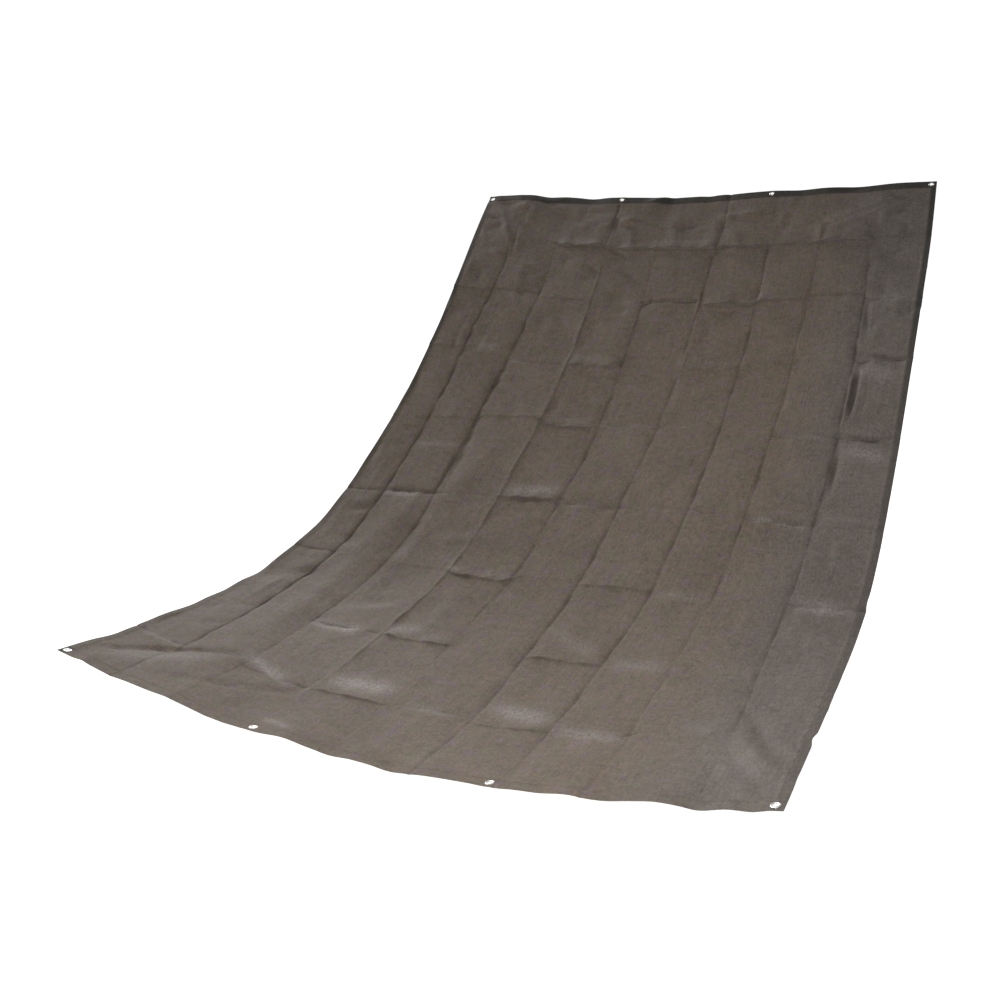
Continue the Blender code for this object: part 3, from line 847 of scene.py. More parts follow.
    def skin(self, across: np.ndarray, along: np.ndarray, height: np.ndarray) -> np.ndarray:
        """Points of the cloth's face, flat around each eyelet.

        Args:
            across: Places in panels.
            along: Places in panels.
            height: Height of the face over the middle of the cloth.

        Returns:
            The points.
        """
        sideways, endways = self.flat_place(across, along)
        lift = self.crease_shapes(across, along)[0]
        lift = lift + self.fold_shapes(sideways, endways)[0]
        lift = lift + self.billow_heights(sideways, endways)
        points = self.smooth(sideways, endways) + self.edge_bends(sideways, endways)
        points = points + self.normals(sideways, endways) * (lift + height)[..., None]
        for frames in self.frames.values():
            for centre, _, outward in frames:
                offset = points - centre
                out = offset @ outward
                aside = np.linalg.norm(offset - out[..., None] * outward, axis=-1)
                weight = np.clip((self.pad_fade - aside) / (self.pad_fade - self.pad_flat), 0.0, 1.0)
                weight = weight * weight * (3.0 - 2.0 * weight)
                points = points + (weight * (height - out))[..., None] * outward
        return points

    def painted_glint(self, sideways: np.ndarray, endways: np.ndarray) -> np.ndarray:
        """How strongly a highlight is painted on the cloth, which is also made glossier there.

        Args:
            sideways: Flat places across, in panels.
            endways: Flat places along, in panels.

        Returns:
            The painted highlight from 0 to about 1.
        """
        total = np.zeros(np.broadcast(sideways, endways).shape)
        for spot in PAINTED_GLINTS:
            heading = math.radians(spot.heading)
            x = (sideways - spot.across) * self.panel_width
            y = (endways - spot.along) * self.panel_length
            forward = (x * math.cos(heading) + y * math.sin(heading)) / (spot.half_length * MILLIMETRE)
            aside = (-x * math.sin(heading) + y * math.cos(heading)) / (spot.half_width * MILLIMETRE)
            total = np.maximum(total, spot.strength * np.exp(-(forward**4) - aside**2))
        return total


def spaced(places: Iterable[float], closest: float) -> np.ndarray:
    """Sort places and leave out any that crowd the one before them.

    Args:
        places: The places.
        closest: The least step that is kept.

    Returns:
        The places that are left.
    """
    kept: list[float] = []
    for place in sorted(places):
        if not kept or place - kept[-1] > closest:
            kept.append(place)
    return np.array(kept)


def clear_selection() -> None:
    """Leave nothing selected, so that the next operator acts on its own piece alone."""
    bpy.ops.object.select_all(action="DESELECT")


def make_active(piece: Piece) -> None:
    """Select one piece alone and make it the active one.

    Args:
        piece: The piece.
    """
    clear_selection()
    piece.select_set(True)
    bpy.context.view_layer.objects.active = piece


def apply_modifier(piece: Piece, name: str) -> None:
    """Apply one modifier of a piece."""
    make_active(piece)
    bpy.ops.object.modifier_apply(modifier=name)


def frame_matrix(frame: Frame) -> Matrix:
    """Matrix that places a piece on an eyelet: its Z is outward and its X to the right.

    Args:
        frame: The eyelet's centre, and its right and outward directions.

    Returns:
        The matrix.
    """
    centre, right, outward = frame
    up = np.cross(outward, right)
    matrix = Matrix.Identity(4)
    for row in range(3):
        matrix[row][0] = right[row]
        matrix[row][1] = up[row]
        matrix[row][2] = outward[row]
        matrix[row][3] = centre[row]
    return matrix


class Wire:
    """A number in a material's nodes: Python's signs join wires with Math nodes."""

    def __init__(self, palette: "Palette", socket: Socket) -> None:
        """Keep the material's palette and the socket that gives the number."""
        self.palette = palette
        self.socket = socket

    def join(self, operation: str, *values: Union["Wire", float]) -> "Wire":
        """Join values with one Math node.

        Args:
            operation: The Math node's operation.
            values: Its inputs in order, wires or plain numbers.

        Returns:
            The node's result.
        """
        node = self.palette.node("ShaderNodeMath", {"operation": operation}, dict(enumerate(values)))
        return Wire(self.palette, node.outputs[0])

    def __add__(self, other: Union["Wire", float]) -> "Wire":
        """Sum of two values."""
        return self.join("ADD", self, other)

    def __rsub__(self, other: float) -> "Wire":
        """A number less this value."""
        return self.join("SUBTRACT", other, self)

    def __mul__(self, other: Union["Wire", float]) -> "Wire":
        """Product of two values."""
        return self.join("MULTIPLY", self, other)

    __radd__ = __add__
    __rmul__ = __mul__

    def sine(self) -> "Wire":
        """Sine of the value in radians."""
        return self.join("SINE", self)

    def limited(self, low: float, high: float) -> "Wire":
        """Map the value smoothly to between 0 and 1.

        Args:
            low: What becomes 0.
            high: What becomes 1.

        Returns:
            The mapped value.
        """
        node = self.palette.node(
            "ShaderNodeMapRange",
            {"interpolation_type": "SMOOTHSTEP"},
            {"Value": self, "From Min": low, "From Max": high},
        )
        return Wire(self.palette, node.outputs["Result"])


class Palette:
    """A material under construction, with the nodes that its finish is made of."""

    def __init__(self, name: str) -> None:
        """Start a material with one Principled shader.

        Args:
            name: The material's name.
        """
        self.material = bpy.data.materials.new(name)
        self.material.use_nodes = True
        self.tree = self.material.node_tree
        self.shader = self.tree.nodes["Principled BSDF"]

    def node(self, kind: str, settings: dict, sockets: dict) -> Node:
        """Add a node.

        Args:
            kind: The node's type.
            settings: Its own settings, and a colour ramp's stops under "stops".
            sockets: Values, wires or sockets by the name or number of its inputs.

        Returns:
            The node.
        """
        node = self.tree.nodes.new(kind)
        for name, value in settings.items():
            if name == "stops":
                self.set_stops(node, value)
            else:
                setattr(node, name, value)
        for name, value in sockets.items():
            self.feed(node.inputs[name], value)
        return node

    def set_stops(self, node: Node, stops: Sequence[tuple[float, tuple]]) -> None:
        """Give a colour ramp its stops.

        Args:
            node: The ramp.
            stops: A place and a colour for each.
        """
        elements = node.color_ramp.elements
        while len(elements) < len(stops):
            elements.new(1.0)
        for element, (place, colour) in zip(elements, stops):
            element.position = place
            element.color = (*colour, 1.0)

    def feed(self, target: Socket, value: object) -> None:
        """Set an input to a plain value, or link a wire or a socket to it.

        Args:
            target: The input.
            value: The value, wire or socket.
        """
        if isinstance(value, Wire):
            self.tree.links.new(value.socket, target)
        elif isinstance(value, Socket):
            self.tree.links.new(value, target)
        else:
            target.default_value = value

    def attribute(self, name: str) -> Wire:
        """A number that the mesh carries point by point."""
        node = self.node("ShaderNodeAttribute", {"attribute_name": name}, {})
        return Wire(self, node.outputs["Fac"])

    def stretched(self, socket: Socket, scale: tuple[float, float, float]) -> Socket:
        """Coordinates multiplied by a scale on each axis."""
        return self.node("ShaderNodeMapping", {}, {"Vector": socket, "Scale": scale}).outputs["Vector"]

    def noise(self, socket: Socket, scale: float, detail: float = 2.0, rough: float = 0.5) -> Wire:
        """Noise from 0 to 1.

        Args:
            socket: The coordinates.
            scale: Its lumps a metre.
            detail: Its finer layers.
            rough: How strong they are.

        Returns:
            The noise.
        """
        sockets = {"Vector": socket, "Scale": scale, "Detail": detail, "Roughness": rough}
        return Wire(self, self.node("ShaderNodeTexNoise", {}, sockets).outputs["Fac"])

    def grain(self, socket: Socket, layer: Grain) -> Wire:
        """One layer of noise from 0 to 1, without its share."""
        return self.noise(self.stretched(socket, layer.stretch), layer.scale, layer.detail, layer.rough)

    def grey(self, value: Wire) -> Socket:
        """A grey of the same value in red, green and blue."""
        return self.node("ShaderNodeCombineXYZ", {}, {0: value, 1: value, 2: value}).outputs["Vector"]

    def blend(self, factor: Union[Wire, float], first: object, second: object, mode: str = "MIX") -> Socket:
        """Mix two colours.

        Args:
            factor: How much of the second one there is.
            first: A colour or a socket.
            second: A colour or a socket.
            mode: The way of mixing.

        Returns:
            The mixed colour.
        """
        settings = {"data_type": "RGBA", "blend_type": mode}
        node = self.node("ShaderNodeMix", settings, {0: factor, 6: first, 7: second})
        return node.outputs[2]

    def ramp(self, factor: Wire, stops: Sequence[tuple[float, tuple]]) -> Socket:
        """A colour read from stops by a factor."""
        return self.node("ShaderNodeValToRGB", {"stops": stops}, {"Fac": factor}).outputs["Color"]


# Layers of noise in the net's colour, its painted highlight and its relief
STREAK = Grain(130.0, 3.0, 0.6, (1.0, 0.06, 1.0), 0.50)
SPECKLE = Grain(150.0, 5.0, 0.85, (1.0, 0.6, 1.0), 2.2)
MOTTLE = Grain(45.0, 3.0, 0.6, (1.0, 1.0, 1.0), 0.74)
CLOUD = Grain(7.0, 4.0, 0.6, (1.0, 1.0, 1.0), 0.52)
SPARKLE = Grain(120.0, 5.0, 0.8, (1.0, 0.7, 1.0), 0.62)
CRINKLE = Grain(30.0, 4.0, 0.5, (1.0, 0.6, 1.0), 1.0)
RIBBING = Grain(120.0, 2.0, 0.5, (1.0, 0.12, 1.0), 0.12)


@dataclass(frozen=True)
class KnitFinish:
    """Knitted plastic net: mottled brown tape yarn in ribs, with painted shade in creases and hems, painted
    glints and a painted cool light on the right-hand panel.
    """

    name: str
    brown: tuple = (0.150, 0.119, 0.097)
    olive: tuple = (0.141, 0.121, 0.083)
    russet: tuple = (0.159, 0.119, 0.083)
    lilac: tuple = (0.155, 0.116, 0.121)
    # The next colour is a painted cool light on the right-hand panel
    painted_cool_light: tuple = (0.138, 0.121, 0.109)
    # The next colour is painted shade in the creases
    crease: tuple = (0.045, 0.037, 0.030)
    # The next colour is a painted highlight, for glints and sparkle
    painted_highlight: tuple = (0.330, 0.300, 0.300)
    # The next colour is painted shade on the doubled hems, which let less light through
    hem: tuple = (0.040, 0.038, 0.032)
    rib_pitch: float = 0.0026
    inlay_pitch: float = 0.0033
    knit_depth: float = 0.0004
    crinkle_depth: float = 0.005
    tone_base: float = -0.97
    # Where and how strongly the painted cool light tints the right-hand panel
    cool_from: float = 1.55
    cool_full: float = 1.85
    cool_share: float = 0.75
    # How strongly the painted shade darkens the creases
    shade_full: float = 1.4
    painted_crease_shade_share: float = 0.50
    fuzz_base: float = 0.60
    fuzz_share: float = 0.8

    def material(self) -> Material:
        """Build the finish's material, whose patterns lie in the cloth's own flat metres.

        Returns:
            The material.
        """
        palette = Palette(self.name)
        flat = palette.node("ShaderNodeUVMap", {"uv_map": "cloth"}, {}).outputs["UV"]
        split = palette.node("ShaderNodeSeparateXYZ", {}, {"Vector": flat})
        across = Wire(palette, split.outputs["X"])
        along = Wire(palette, split.outputs["Y"])
        colour = self.colour(palette, flat)
        shader = palette.shader
        palette.feed(shader.inputs["Base Color"], colour)
        speck = palette.noise(flat, 260.0)
        # Where a highlight is painted, the net is also made less rough
        painted_glint = palette.attribute("painted_glint")
        roughness = 0.66 - painted_glint * speck * 0.25 + speck * 0.06
        palette.feed(shader.inputs["Roughness"], roughness)
        palette.feed(shader.inputs["Specular IOR Level"], 0.42)
        palette.feed(shader.inputs["Sheen Weight"], 0.10)
        palette.feed(shader.inputs["Sheen Roughness"], 0.45)
        palette.feed(shader.inputs["Sheen Tint"], (0.85, 0.80, 0.78, 1.0))
        ribs = (across * (math.tau / self.rib_pitch)).sine()
        inlays = (along * (math.tau / self.inlay_pitch)).sine()
        knit = ribs * 0.5 + inlays * 0.28 + palette.noise(flat, 420.0) * 0.7
        sockets = {"Strength": 0.35, "Distance": self.knit_depth, "Height": knit}
        weave = palette.node("ShaderNodeBump", {}, sockets)
        crinkle = palette.grain(flat, CRINKLE)
        ribbing = palette.grain(flat, RIBBING)
        bump = palette.node(
            "ShaderNodeBump",
            {},
            {
                "Strength": 0.42,
                "Distance": self.crinkle_depth,
                "Height": crinkle * CRINKLE.share + ribbing * RIBBING.share,
                "Normal": weave.outputs["Normal"],
            },
        )
        palette.feed(shader.inputs["Normal"], bump.outputs["Normal"])
        return palette.material

    def colour(self, palette: Palette, flat: Socket) -> Socket:
        """Colour of the net: blotches, streaks and speckle under painted crease shade, painted hem shade
        and painted glints.

        Args:
            palette: The material under construction.
            flat: The cloth's flat coordinates in metres.

        Returns:
            The colour's socket.
        """
        blotch = palette.noise(flat, 25.0, 1.0)
        stops = ((0.33, self.olive), (0.47, self.brown), (0.56, self.russet), (0.67, self.lilac))
        colour = palette.ramp(blotch, stops)
        # Painted cool light on the right-hand panel
        split = palette.node("ShaderNodeSeparateXYZ", {}, {"Vector": flat})
        painted_cool_light_mask = Wire(palette, split.outputs["X"]).limited(self.cool_from, self.cool_full)
        colour = palette.blend(painted_cool_light_mask * self.cool_share, colour, (*self.painted_cool_light, 1.0))
        speckle = palette.grain(flat, SPECKLE)
        tone = self.tone_base + speckle * SPECKLE.share
        for layer in (STREAK, MOTTLE, CLOUD):
            tone = tone + palette.grain(flat, layer) * layer.share
        colour = palette.blend(1.0, colour, palette.grey(tone), "MULTIPLY")
        # Painted highlight: speckled silver glints in the listed zones, and fine silver sparkle all over
        sparkle = palette.grain(flat, SPARKLE).limited(0.42, 0.58)
        painted_sparkle = palette.noise(flat, 150.0).limited(0.56, 0.74)
        painted_shine = palette.attribute("painted_glint") * (0.12 + sparkle * SPARKLE.share) + painted_sparkle * 0.14
        colour = palette.blend(painted_shine, colour, (*self.painted_highlight, 1.0))
        # Painted shade in the creases and narrow deep folds
        shade = palette.attribute("shade").limited(0.0, self.shade_full)
        colour = palette.blend(shade * self.painted_crease_shade_share, colour, (*self.crease, 1.0))
        # Painted shade on the doubled hems, where less light comes through the cloth
        doubled = palette.attribute("doubled")
        fuzz = palette.grey(self.fuzz_base + speckle * self.fuzz_share)
        dark = palette.blend(1.0, (*self.hem, 1.0), fuzz, "MULTIPLY")
        return palette.blend(doubled, colour, dark)


@dataclass(frozen=True)
class MetalFinish:
    """Plated eyelet metal: bright, with a fine grain and dull specks of wear."""

    name: str = "eyelet_plating"
    bright: tuple = (0.93, 0.93, 0.92)
    dull: tuple = (0.70, 0.70, 0.68)
    metallic: float = 0.55

    def material(self) -> Material:
        """Build the finish's material on object coordinates.

        Returns:
            The material.
        """
        palette = Palette(self.name)
        place = palette.node("ShaderNodeTexCoord", {}, {}).outputs["Object"]
        wear = palette.noise(place, 420.0, 4.0).limited(0.52, 0.72)
        fine = palette.noise(place, 2400.0, 2.0)
        shader = palette.shader
        colour = palette.blend(wear, (*self.bright, 1.0), (*self.dull, 1.0))
        palette.feed(shader.inputs["Base Color"], colour)
        palette.feed(shader.inputs["Metallic"], self.metallic)
        palette.feed(shader.inputs["Roughness"], 0.20 + wear * 0.22 + fine * 0.08)
        bump = palette.node("ShaderNodeBump", {}, {"Strength": 0.15, "Distance": 0.0002, "Height": fine})
        palette.feed(shader.inputs["Normal"], bump.outputs["Normal"])
        return palette.material


@dataclass(frozen=True)
class ThreadFinish:
    """Dark sewing thread with a dry twist."""

    name: str = "hem_thread"
    dark: tuple = (0.115, 0.092, 0.074)
    light: tuple = (0.175, 0.142, 0.117)

    def material(self) -> Material:
        """Build the finish's material on object coordinates.

        Returns:
            The material.
        """
        palette = Palette(self.name)
        place = palette.node("ShaderNodeTexCoord", {}, {}).outputs["Object"]
        twist = palette.noise(place, 1800.0, 2.0)
        shader = palette.shader
        colour = palette.blend(twist, (*self.dark, 1.0), (*self.light, 1.0))
        palette.feed(shader.inputs["Base Color"], colour)
        palette.feed(shader.inputs["Roughness"], 0.55 + twist * 0.25)
        bump = palette.node("ShaderNodeBump", {}, {"Strength": 0.4, "Distance": 0.0002, "Height": twist})
        palette.feed(shader.inputs["Normal"], bump.outputs["Normal"])
        return palette.material


@dataclass
class KnitSheet:
    """A closed thin sheet of the net over a grid of panel places."""

    form: ClothForm
    finish: Material
    single: float = 0.0010
    doubled: float = 0.0022
    side_hem: float = 0.024
    fold_radius: float = 0.0010
    thinnest: float = 0.03
    # Painted shade on the doubled side hems: its margin and blur, and how it fades towards the foot
    hem_margin: float = 0.001
    hem_blur: float = 0.007
    hem_shade_places: tuple = (0.0, 2.5, 5.0, 9.0)
    hem_shade_levels: tuple = (1.0, 0.85, 0.45, 0.25)
    seam_gap: float = 0.00003
    seam_steps: tuple = (0.0, 0.0005, 0.0015, 0.012)
    column_steps: tuple = (0.0018, 0.0045, 0.0085, 0.014)
    row_steps: tuple = (0.002, 0.0052, 0.010, 0.018)
    edge_margin: float = 0.064
    column_margin: float = 0.024
    row_margin: float = 0.030
    panel_columns: int = 11
    panel_rows: int = 18
    closest: float = 0.0004

    def thickness(self, from_side: np.ndarray) -> np.ndarray:
        """Thickness at a distance from the side: doubled over in the side hem."""
        share = np.clip((from_side - self.side_hem) / self.form.hem_taper, 0.0, 1.0)
        return self.doubled + (self.single - self.doubled) * share

    def panel_places(self, size: float, steps: tuple, margin: float, count: int) -> list[float]:
        """Mesh places beside the creases of one family and in the open panels between them.

        Args:
            size: A panel's size across the family.
            steps: Distances from a crease of the places beside it.
            margin: Distance from a crease to the open panel.
            count: How many places an open panel has.

        Returns:
            The places in panels.
        """
        places = []
        for number in range(1, PANELS):
            places.append(float(number))
            for step in steps:
                places += [number - step / size, number + step / size]
        for number in range(PANELS):
            low = number + (self.edge_margin if number == 0 else margin) / size
            high = number + 1.0 - (self.edge_margin if number == PANELS - 1 else margin) / size
            places += list(np.linspace(low, high, count))
        return places

    def columns(self) -> np.ndarray:
        """Mesh places across the net: its side hems, its creases and its open panels.

        Returns:
            The places in panels.
        """
        form = self.form
        width = form.panel_width
        seam = self.side_hem
        rim = [0.0, 0.0003, 0.0008, 0.0015, 0.008, 0.016, seam, seam + form.hem_taper, 0.034, form.hem]
        places = [value / width for value in rim]
        places += [PANELS - value / width for value in rim]
        places += self.panel_places(width, self.column_steps, self.column_margin, self.panel_columns)
        return spaced(places, self.closest / width)

    def rows(self) -> np.ndarray:
        """Mesh places along the net between its two hemmed strips.

        Returns:
            The places in panels.
        """
        form = self.form
        length = form.panel_length
        seam = (form.hem + self.seam_gap) / length
        places = self.panel_places(length, self.row_steps, self.row_margin, self.panel_rows)
        for step in self.seam_steps:
            places += [seam + step / length, PANELS - seam - step / length]
        return spaced(places, self.closest / length)

    def hem_painted_shade(self, sideways: np.ndarray, endways: np.ndarray) -> np.ndarray:
        """Painted shade on the doubled cloth of the side hems, from 0 to 1, fading towards the foot.

        Args:
            sideways: Flat places across, in panels.
            endways: Flat places along, in panels.

        Returns:
            The darkness.
        """
        from_side = np.minimum(sideways, PANELS - sideways) * self.form.panel_width
        hem = np.clip((self.side_hem + self.hem_margin - from_side) / self.hem_blur, 0.0, 1.0)
        return hem * np.interp(endways, self.hem_shade_places, self.hem_shade_levels)

    def build(self, name: str, columns: np.ndarray, rows: np.ndarray) -> Piece:
        """Make the sheet's closed mesh, its flat coordinates and the attributes of its painted shade and
        painted glints.

        Args:
            name: The piece's name.
            columns: Places across, in panels.
            rows: Places along, in panels.

        Returns:
            The finished object.
        """
        form = self.form
        across, along = np.meshgrid(columns, rows)
        sideways, endways = form.flat_place(across, along)
        from_side = np.minimum(across, PANELS - across) * form.panel_width
        from_end = np.minimum(along, PANELS - along) * form.panel_length
        half = self.half_thickness(from_side, from_end)
        faces_up = form.skin(across, along, half)
        faces_down = form.skin(across, along, -half)
        height, width = across.shape
        count = height * width
        index = np.arange(count).reshape(height, width)
        near = (index[:-1, :-1], index[1:, :-1], index[1:, 1:], index[:-1, 1:])
        front = np.stack(near, axis=-1).reshape(-1, 4)
        back = front[:, ::-1] + count
        border = np.concatenate((index[0, :-1], index[:-1, -1], index[-1, :0:-1], index[:0:-1, 0]))
        after = np.roll(border, -1)
        walls = np.stack((border, after, after + count, border + count), axis=-1)
        mesh = bpy.data.meshes.new(name)
        points = np.concatenate((faces_up.reshape(-1, 3), faces_down.reshape(-1, 3)))
        mesh.from_pydata(points.tolist(), [], np.concatenate((front, back, walls)).tolist())
        mesh.update()
        self.lay_flat_map(mesh, sideways, endways)
        # Painted crease shade, painted glints and painted shade of the doubled hems
        shade = form.crease_shapes(across, along)[1] + form.fold_shapes(sideways, endways)[1]
        self.store(mesh, "shade", shade)
        self.store(mesh, "painted_glint", form.painted_glint(sideways, endways))
        self.store(mesh, "doubled", self.hem_painted_shade(sideways, endways))
        mesh.materials.append(self.finish)
        mesh.shade_smooth()
        piece = bpy.data.objects.new(name, mesh)
        bpy.context.scene.collection.objects.link(piece)
        return piece

    def half_thickness(self, from_side: np.ndarray, from_end: np.ndarray) -> np.ndarray:
        """Half the sheet's thickness, rounded where the cloth turns over at its free edges."""
        half = self.thickness(from_side) / 2.0
        return half * self.rounded(from_side)

    def rounded(self, distance: np.ndarray) -> np.ndarray:
        """Share of the thickness left at a distance from a turned-over edge."""
        inside = np.clip(1.0 - distance / self.fold_radius, 0.0, 1.0)
        return np.sqrt(np.maximum(1.0 - inside**2, self.thinnest))

    def lay_flat_map(self, mesh: Mesh, sideways: np.ndarray, endways: np.ndarray) -> None:
        """Store the cloth's flat coordinates in metres as its UV map.

        Args:
            mesh: The sheet's mesh.
            sideways: Flat places across, in panels.
            endways: Flat places along, in panels.
        """
        flat = np.stack((sideways * self.form.panel_width, endways * self.form.panel_length), axis=-1)
        flat = np.tile(flat.reshape(-1, 2), (2, 1))
        corners = np.empty(len(mesh.loops), dtype=np.int32)
        mesh.loops.foreach_get("vertex_index", corners)
        layer = mesh.uv_layers.new(name="cloth")
        layer.data.foreach_set("uv", flat[corners].astype(np.float32).ravel())

    def store(self, mesh: Mesh, name: str, values: np.ndarray) -> None:
        """Store one number for each point of both faces."""
        layer = mesh.attributes.new(name, "FLOAT", "POINT")
        layer.data.foreach_set("value", np.tile(values.ravel(), 2).astype(np.float32))


@dataclass
class ShadeNet(KnitSheet):
    """The net between its two hemmed strips, its side hems part of it."""

    def dress(self) -> Piece:
        """Build the net and hang it on the frame in place of its solid.

        Returns:
            The net.
        """
        piece = self.build("shade_net_cloth", self.columns(), self.rows())
        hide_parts("shade_net")
        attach(piece, "root")
        return piece


@dataclass
class HemStrip(KnitSheet):
    """The hemmed strip along one end: doubled cloth with round holes for its eyelets."""

    end: End = End.TOP
    hole_radius: float = 0.0075
    hole_sides: int = 40
    cutter_depth: float = 0.02
    foot_thickness: float = 0.0013
    seam_taper: float = 0.0035
    # Painted shade on the left tip of the foot strip, where the side hem meets it
    tip_reach: float = 0.024
    tip_edge: float = 1.6
    tip_painted_shade: float = 0.9

    def strip_rows(self) -> np.ndarray:
        """Mesh places along the strip, from its turned-over edge to its seam.

        Returns:
            The places in panels.
        """
        form = self.form
        distances = [0.0, 0.0003, 0.0008, 0.0015, 0.004, 0.0085, 0.0135, 0.020, 0.0265, 0.0315, 0.036]
        distances += [form.hem - 0.0015, form.hem - 0.0005, form.hem - self.seam_gap]
        places = np.array(distances) / form.panel_length
        return places if self.end is End.TOP else np.sort(PANELS - places)

    def half_thickness(self, from_side: np.ndarray, from_end: np.ndarray) -> np.ndarray:
        """Half the doubled thickness, rounded at the end and the sides and thinned to the seam.

        Args:
            from_side: Distance from the nearer side.
            from_end: Distance from the nearer end.

        Returns:
            Half the thickness.
        """
        share = np.clip((self.form.hem - from_end) / self.seam_taper, 0.0, 1.0)
        full = self.doubled if self.end is End.TOP else self.foot_thickness
        thick = self.thickness(from_side) * (1.0 - share) + full * share
        return thick / 2.0 * np.minimum(self.rounded(from_side), self.rounded(from_end))

    def hem_painted_shade(self, sideways: np.ndarray, endways: np.ndarray) -> np.ndarray:
        """Painted shade of the strip: full on the top strip, which looks nearly black, and on the foot
        strip's left tip, else as on the net.

        Args:
            sideways: Flat places across, in panels.
            endways: Flat places along, in panels.

        Returns:
            The darkness.
        """
        side = super().hem_painted_shade(sideways, endways)
        if self.end is End.TOP:
            return np.ones_like(side)
        tip = np.clip(self.tip_edge - sideways * self.form.panel_width / self.tip_reach, 0.0, 1.0)
        return np.maximum(side, tip * self.tip_painted_shade)

    def punch(self, piece: Piece) -> None:
        """Cut the round eyelet holes through the strip.

        Args:
            piece: The strip.
        """
        for frame in self.form.frames[self.end]:
            clear_selection()
            bpy.ops.mesh.primitive_cylinder_add(
                vertices=self.hole_sides, radius=self.hole_radius, depth=self.cutter_depth
            )
            cutter = bpy.context.object
            cutter.matrix_world = frame_matrix(frame)
            hole = piece.modifiers.new("hole", "BOOLEAN")
            hole.operation = "DIFFERENCE"
            hole.solver = "EXACT"
            hole.object = cutter
            apply_modifier(piece, hole.name)
            bpy.data.objects.remove(cutter, do_unlink=True)

    def dress(self) -> Piece:
        """Build the strip and hang it on the frame in place of its solid.

        Returns:
            The strip.
        """
        word = self.end.value
        piece = self.build(word + "_hem_cloth", self.columns(), self.strip_rows())
        self.punch(piece)
        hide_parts(word + "_hem_strip")
        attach(piece, "root")
        return piece


@dataclass
class Eyelet:
    """A pressed metal eyelet: a barrel rolled over at the front onto the cloth, on a washer."""

    form: ClothForm
    finish: Material
    bore: float = 0.0064
    crown: float = 0.0090
    rim: float = 0.0116
    rise: float = 0.0012
    top_cloth: float = 0.0014
    foot_cloth: float = 0.00095
    wall: float = 0.0004
    sides: int = 56
    turn: float = 0.7

    def rim_edges(self, mesh: Mesh, height: float) -> int:
        """Select the open edges of a tube at a height, and nothing else, in edit mode.

        Args:
            mesh: The tube's mesh.
            height: The edges' height.

        Returns:
            How many edges are selected.
        """
        shape = bmesh.from_edit_mesh(mesh)
        chosen = 0
        for item in (*shape.verts, *shape.faces):
            item.select_set(False)
        for edge in shape.edges:
            at_height = all(abs(vert.co.z - height) < 0.00005 for vert in edge.verts)
            if edge.is_boundary and at_height:
                edge.select_set(True)
                chosen += 1
        bmesh.update_edit_mesh(mesh)
        return chosen

    def flare(self, mesh: Mesh, steps: Sequence[tuple[float, float]]) -> None:
        """Extrude a tube's open edge outwards through a row of radii and heights.

        Args:
            mesh: The tube's mesh.
            steps: Radii and heights, first those of the open edge.
        """
        radius, height = steps[0]
        for next_radius, next_height in steps[1:]:
            self.rim_edges(mesh, height)
            move = {"value": (0.0, 0.0, next_height - height)}
            bpy.ops.mesh.extrude_region_move(TRANSFORM_OT_translate=move)
            grow = next_radius / radius
            bpy.ops.transform.resize(value=(grow, grow, 1.0), center_override=(0.0, 0.0, 0.0))
            radius, height = next_radius, next_height

    def model(self, high: float) -> Piece:
        """Model one eyelet about the origin, its face up.

        Args:
            high: Height of the barrel's end over the middle of the cloth.

        Returns:
            The eyelet.
        """
        clear_selection()
        low = -high
        bpy.ops.mesh.primitive_cylinder_add(
            vertices=self.sides, radius=self.bore, depth=high - low, end_fill_type="NOTHING"
        )
        piece = bpy.context.object
        bpy.ops.object.mode_set(mode="EDIT")
        mesh = piece.data
        top = (
            (self.bore, high),
            (self.bore + 0.0006, high + self.rise * 0.70),
            (self.crown - 0.0008, high + self.rise),
            (self.crown + 0.0008, high + self.rise * 0.92),
            (self.rim - 0.0003, high + self.rise * 0.35),
            (self.rim, high + 0.0001),
        )
        foot = (
            (self.bore, low),
            (self.bore + 0.0005, low - self.rise * 0.45),
            (self.crown, low - self.rise * 0.55),
            (self.rim - 0.0008, low - self.rise * 0.25),
            (self.rim - 0.0006, low - 0.0001),
        )
        self.flare(mesh, top)
        self.flare(mesh, foot)
        bpy.ops.mesh.select_all(action="SELECT")
        bpy.ops.mesh.remove_doubles(threshold=0.00002)
        bpy.ops.mesh.normals_make_consistent(inside=False)
        bpy.ops.object.mode_set(mode="OBJECT")
        shell = piece.modifiers.new("wall", "SOLIDIFY")
        shell.thickness = self.wall
        shell.offset = -1.0
        apply_modifier(piece, shell.name)
        softer = piece.modifiers.new("soft", "SUBSURF")
        softer.levels = 1
        softer.render_levels = 1
        apply_modifier(piece, softer.name)
        piece.data.shade_smooth()
        return piece

    def dress(self) -> list[Piece]:
        """Model an eyelet for each end and set a copy on each of its places.

        Returns:
            The eyelets, the top row first.
        """
        pieces = []
        for end in End:
            pattern = self.model(self.top_cloth if end is End.TOP else self.foot_cloth)
            for number, frame in enumerate(self.form.frames[end], start=1):
                mesh = pattern.data.copy()
                mesh.transform(frame_matrix(frame) @ Matrix.Rotation(number * self.turn, 4, "Z"))
                mesh.materials.clear()
                mesh.materials.append(self.finish)
                name = f"{end.value}_eyelet_{number}"
                piece = bpy.data.objects.new(name + "_ring", mesh)
                bpy.context.scene.collection.objects.link(piece)
                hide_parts(name)
                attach(piece, "root")
                pieces.append(piece)
            bpy.data.objects.remove(pattern, do_unlink=True)
        return pieces


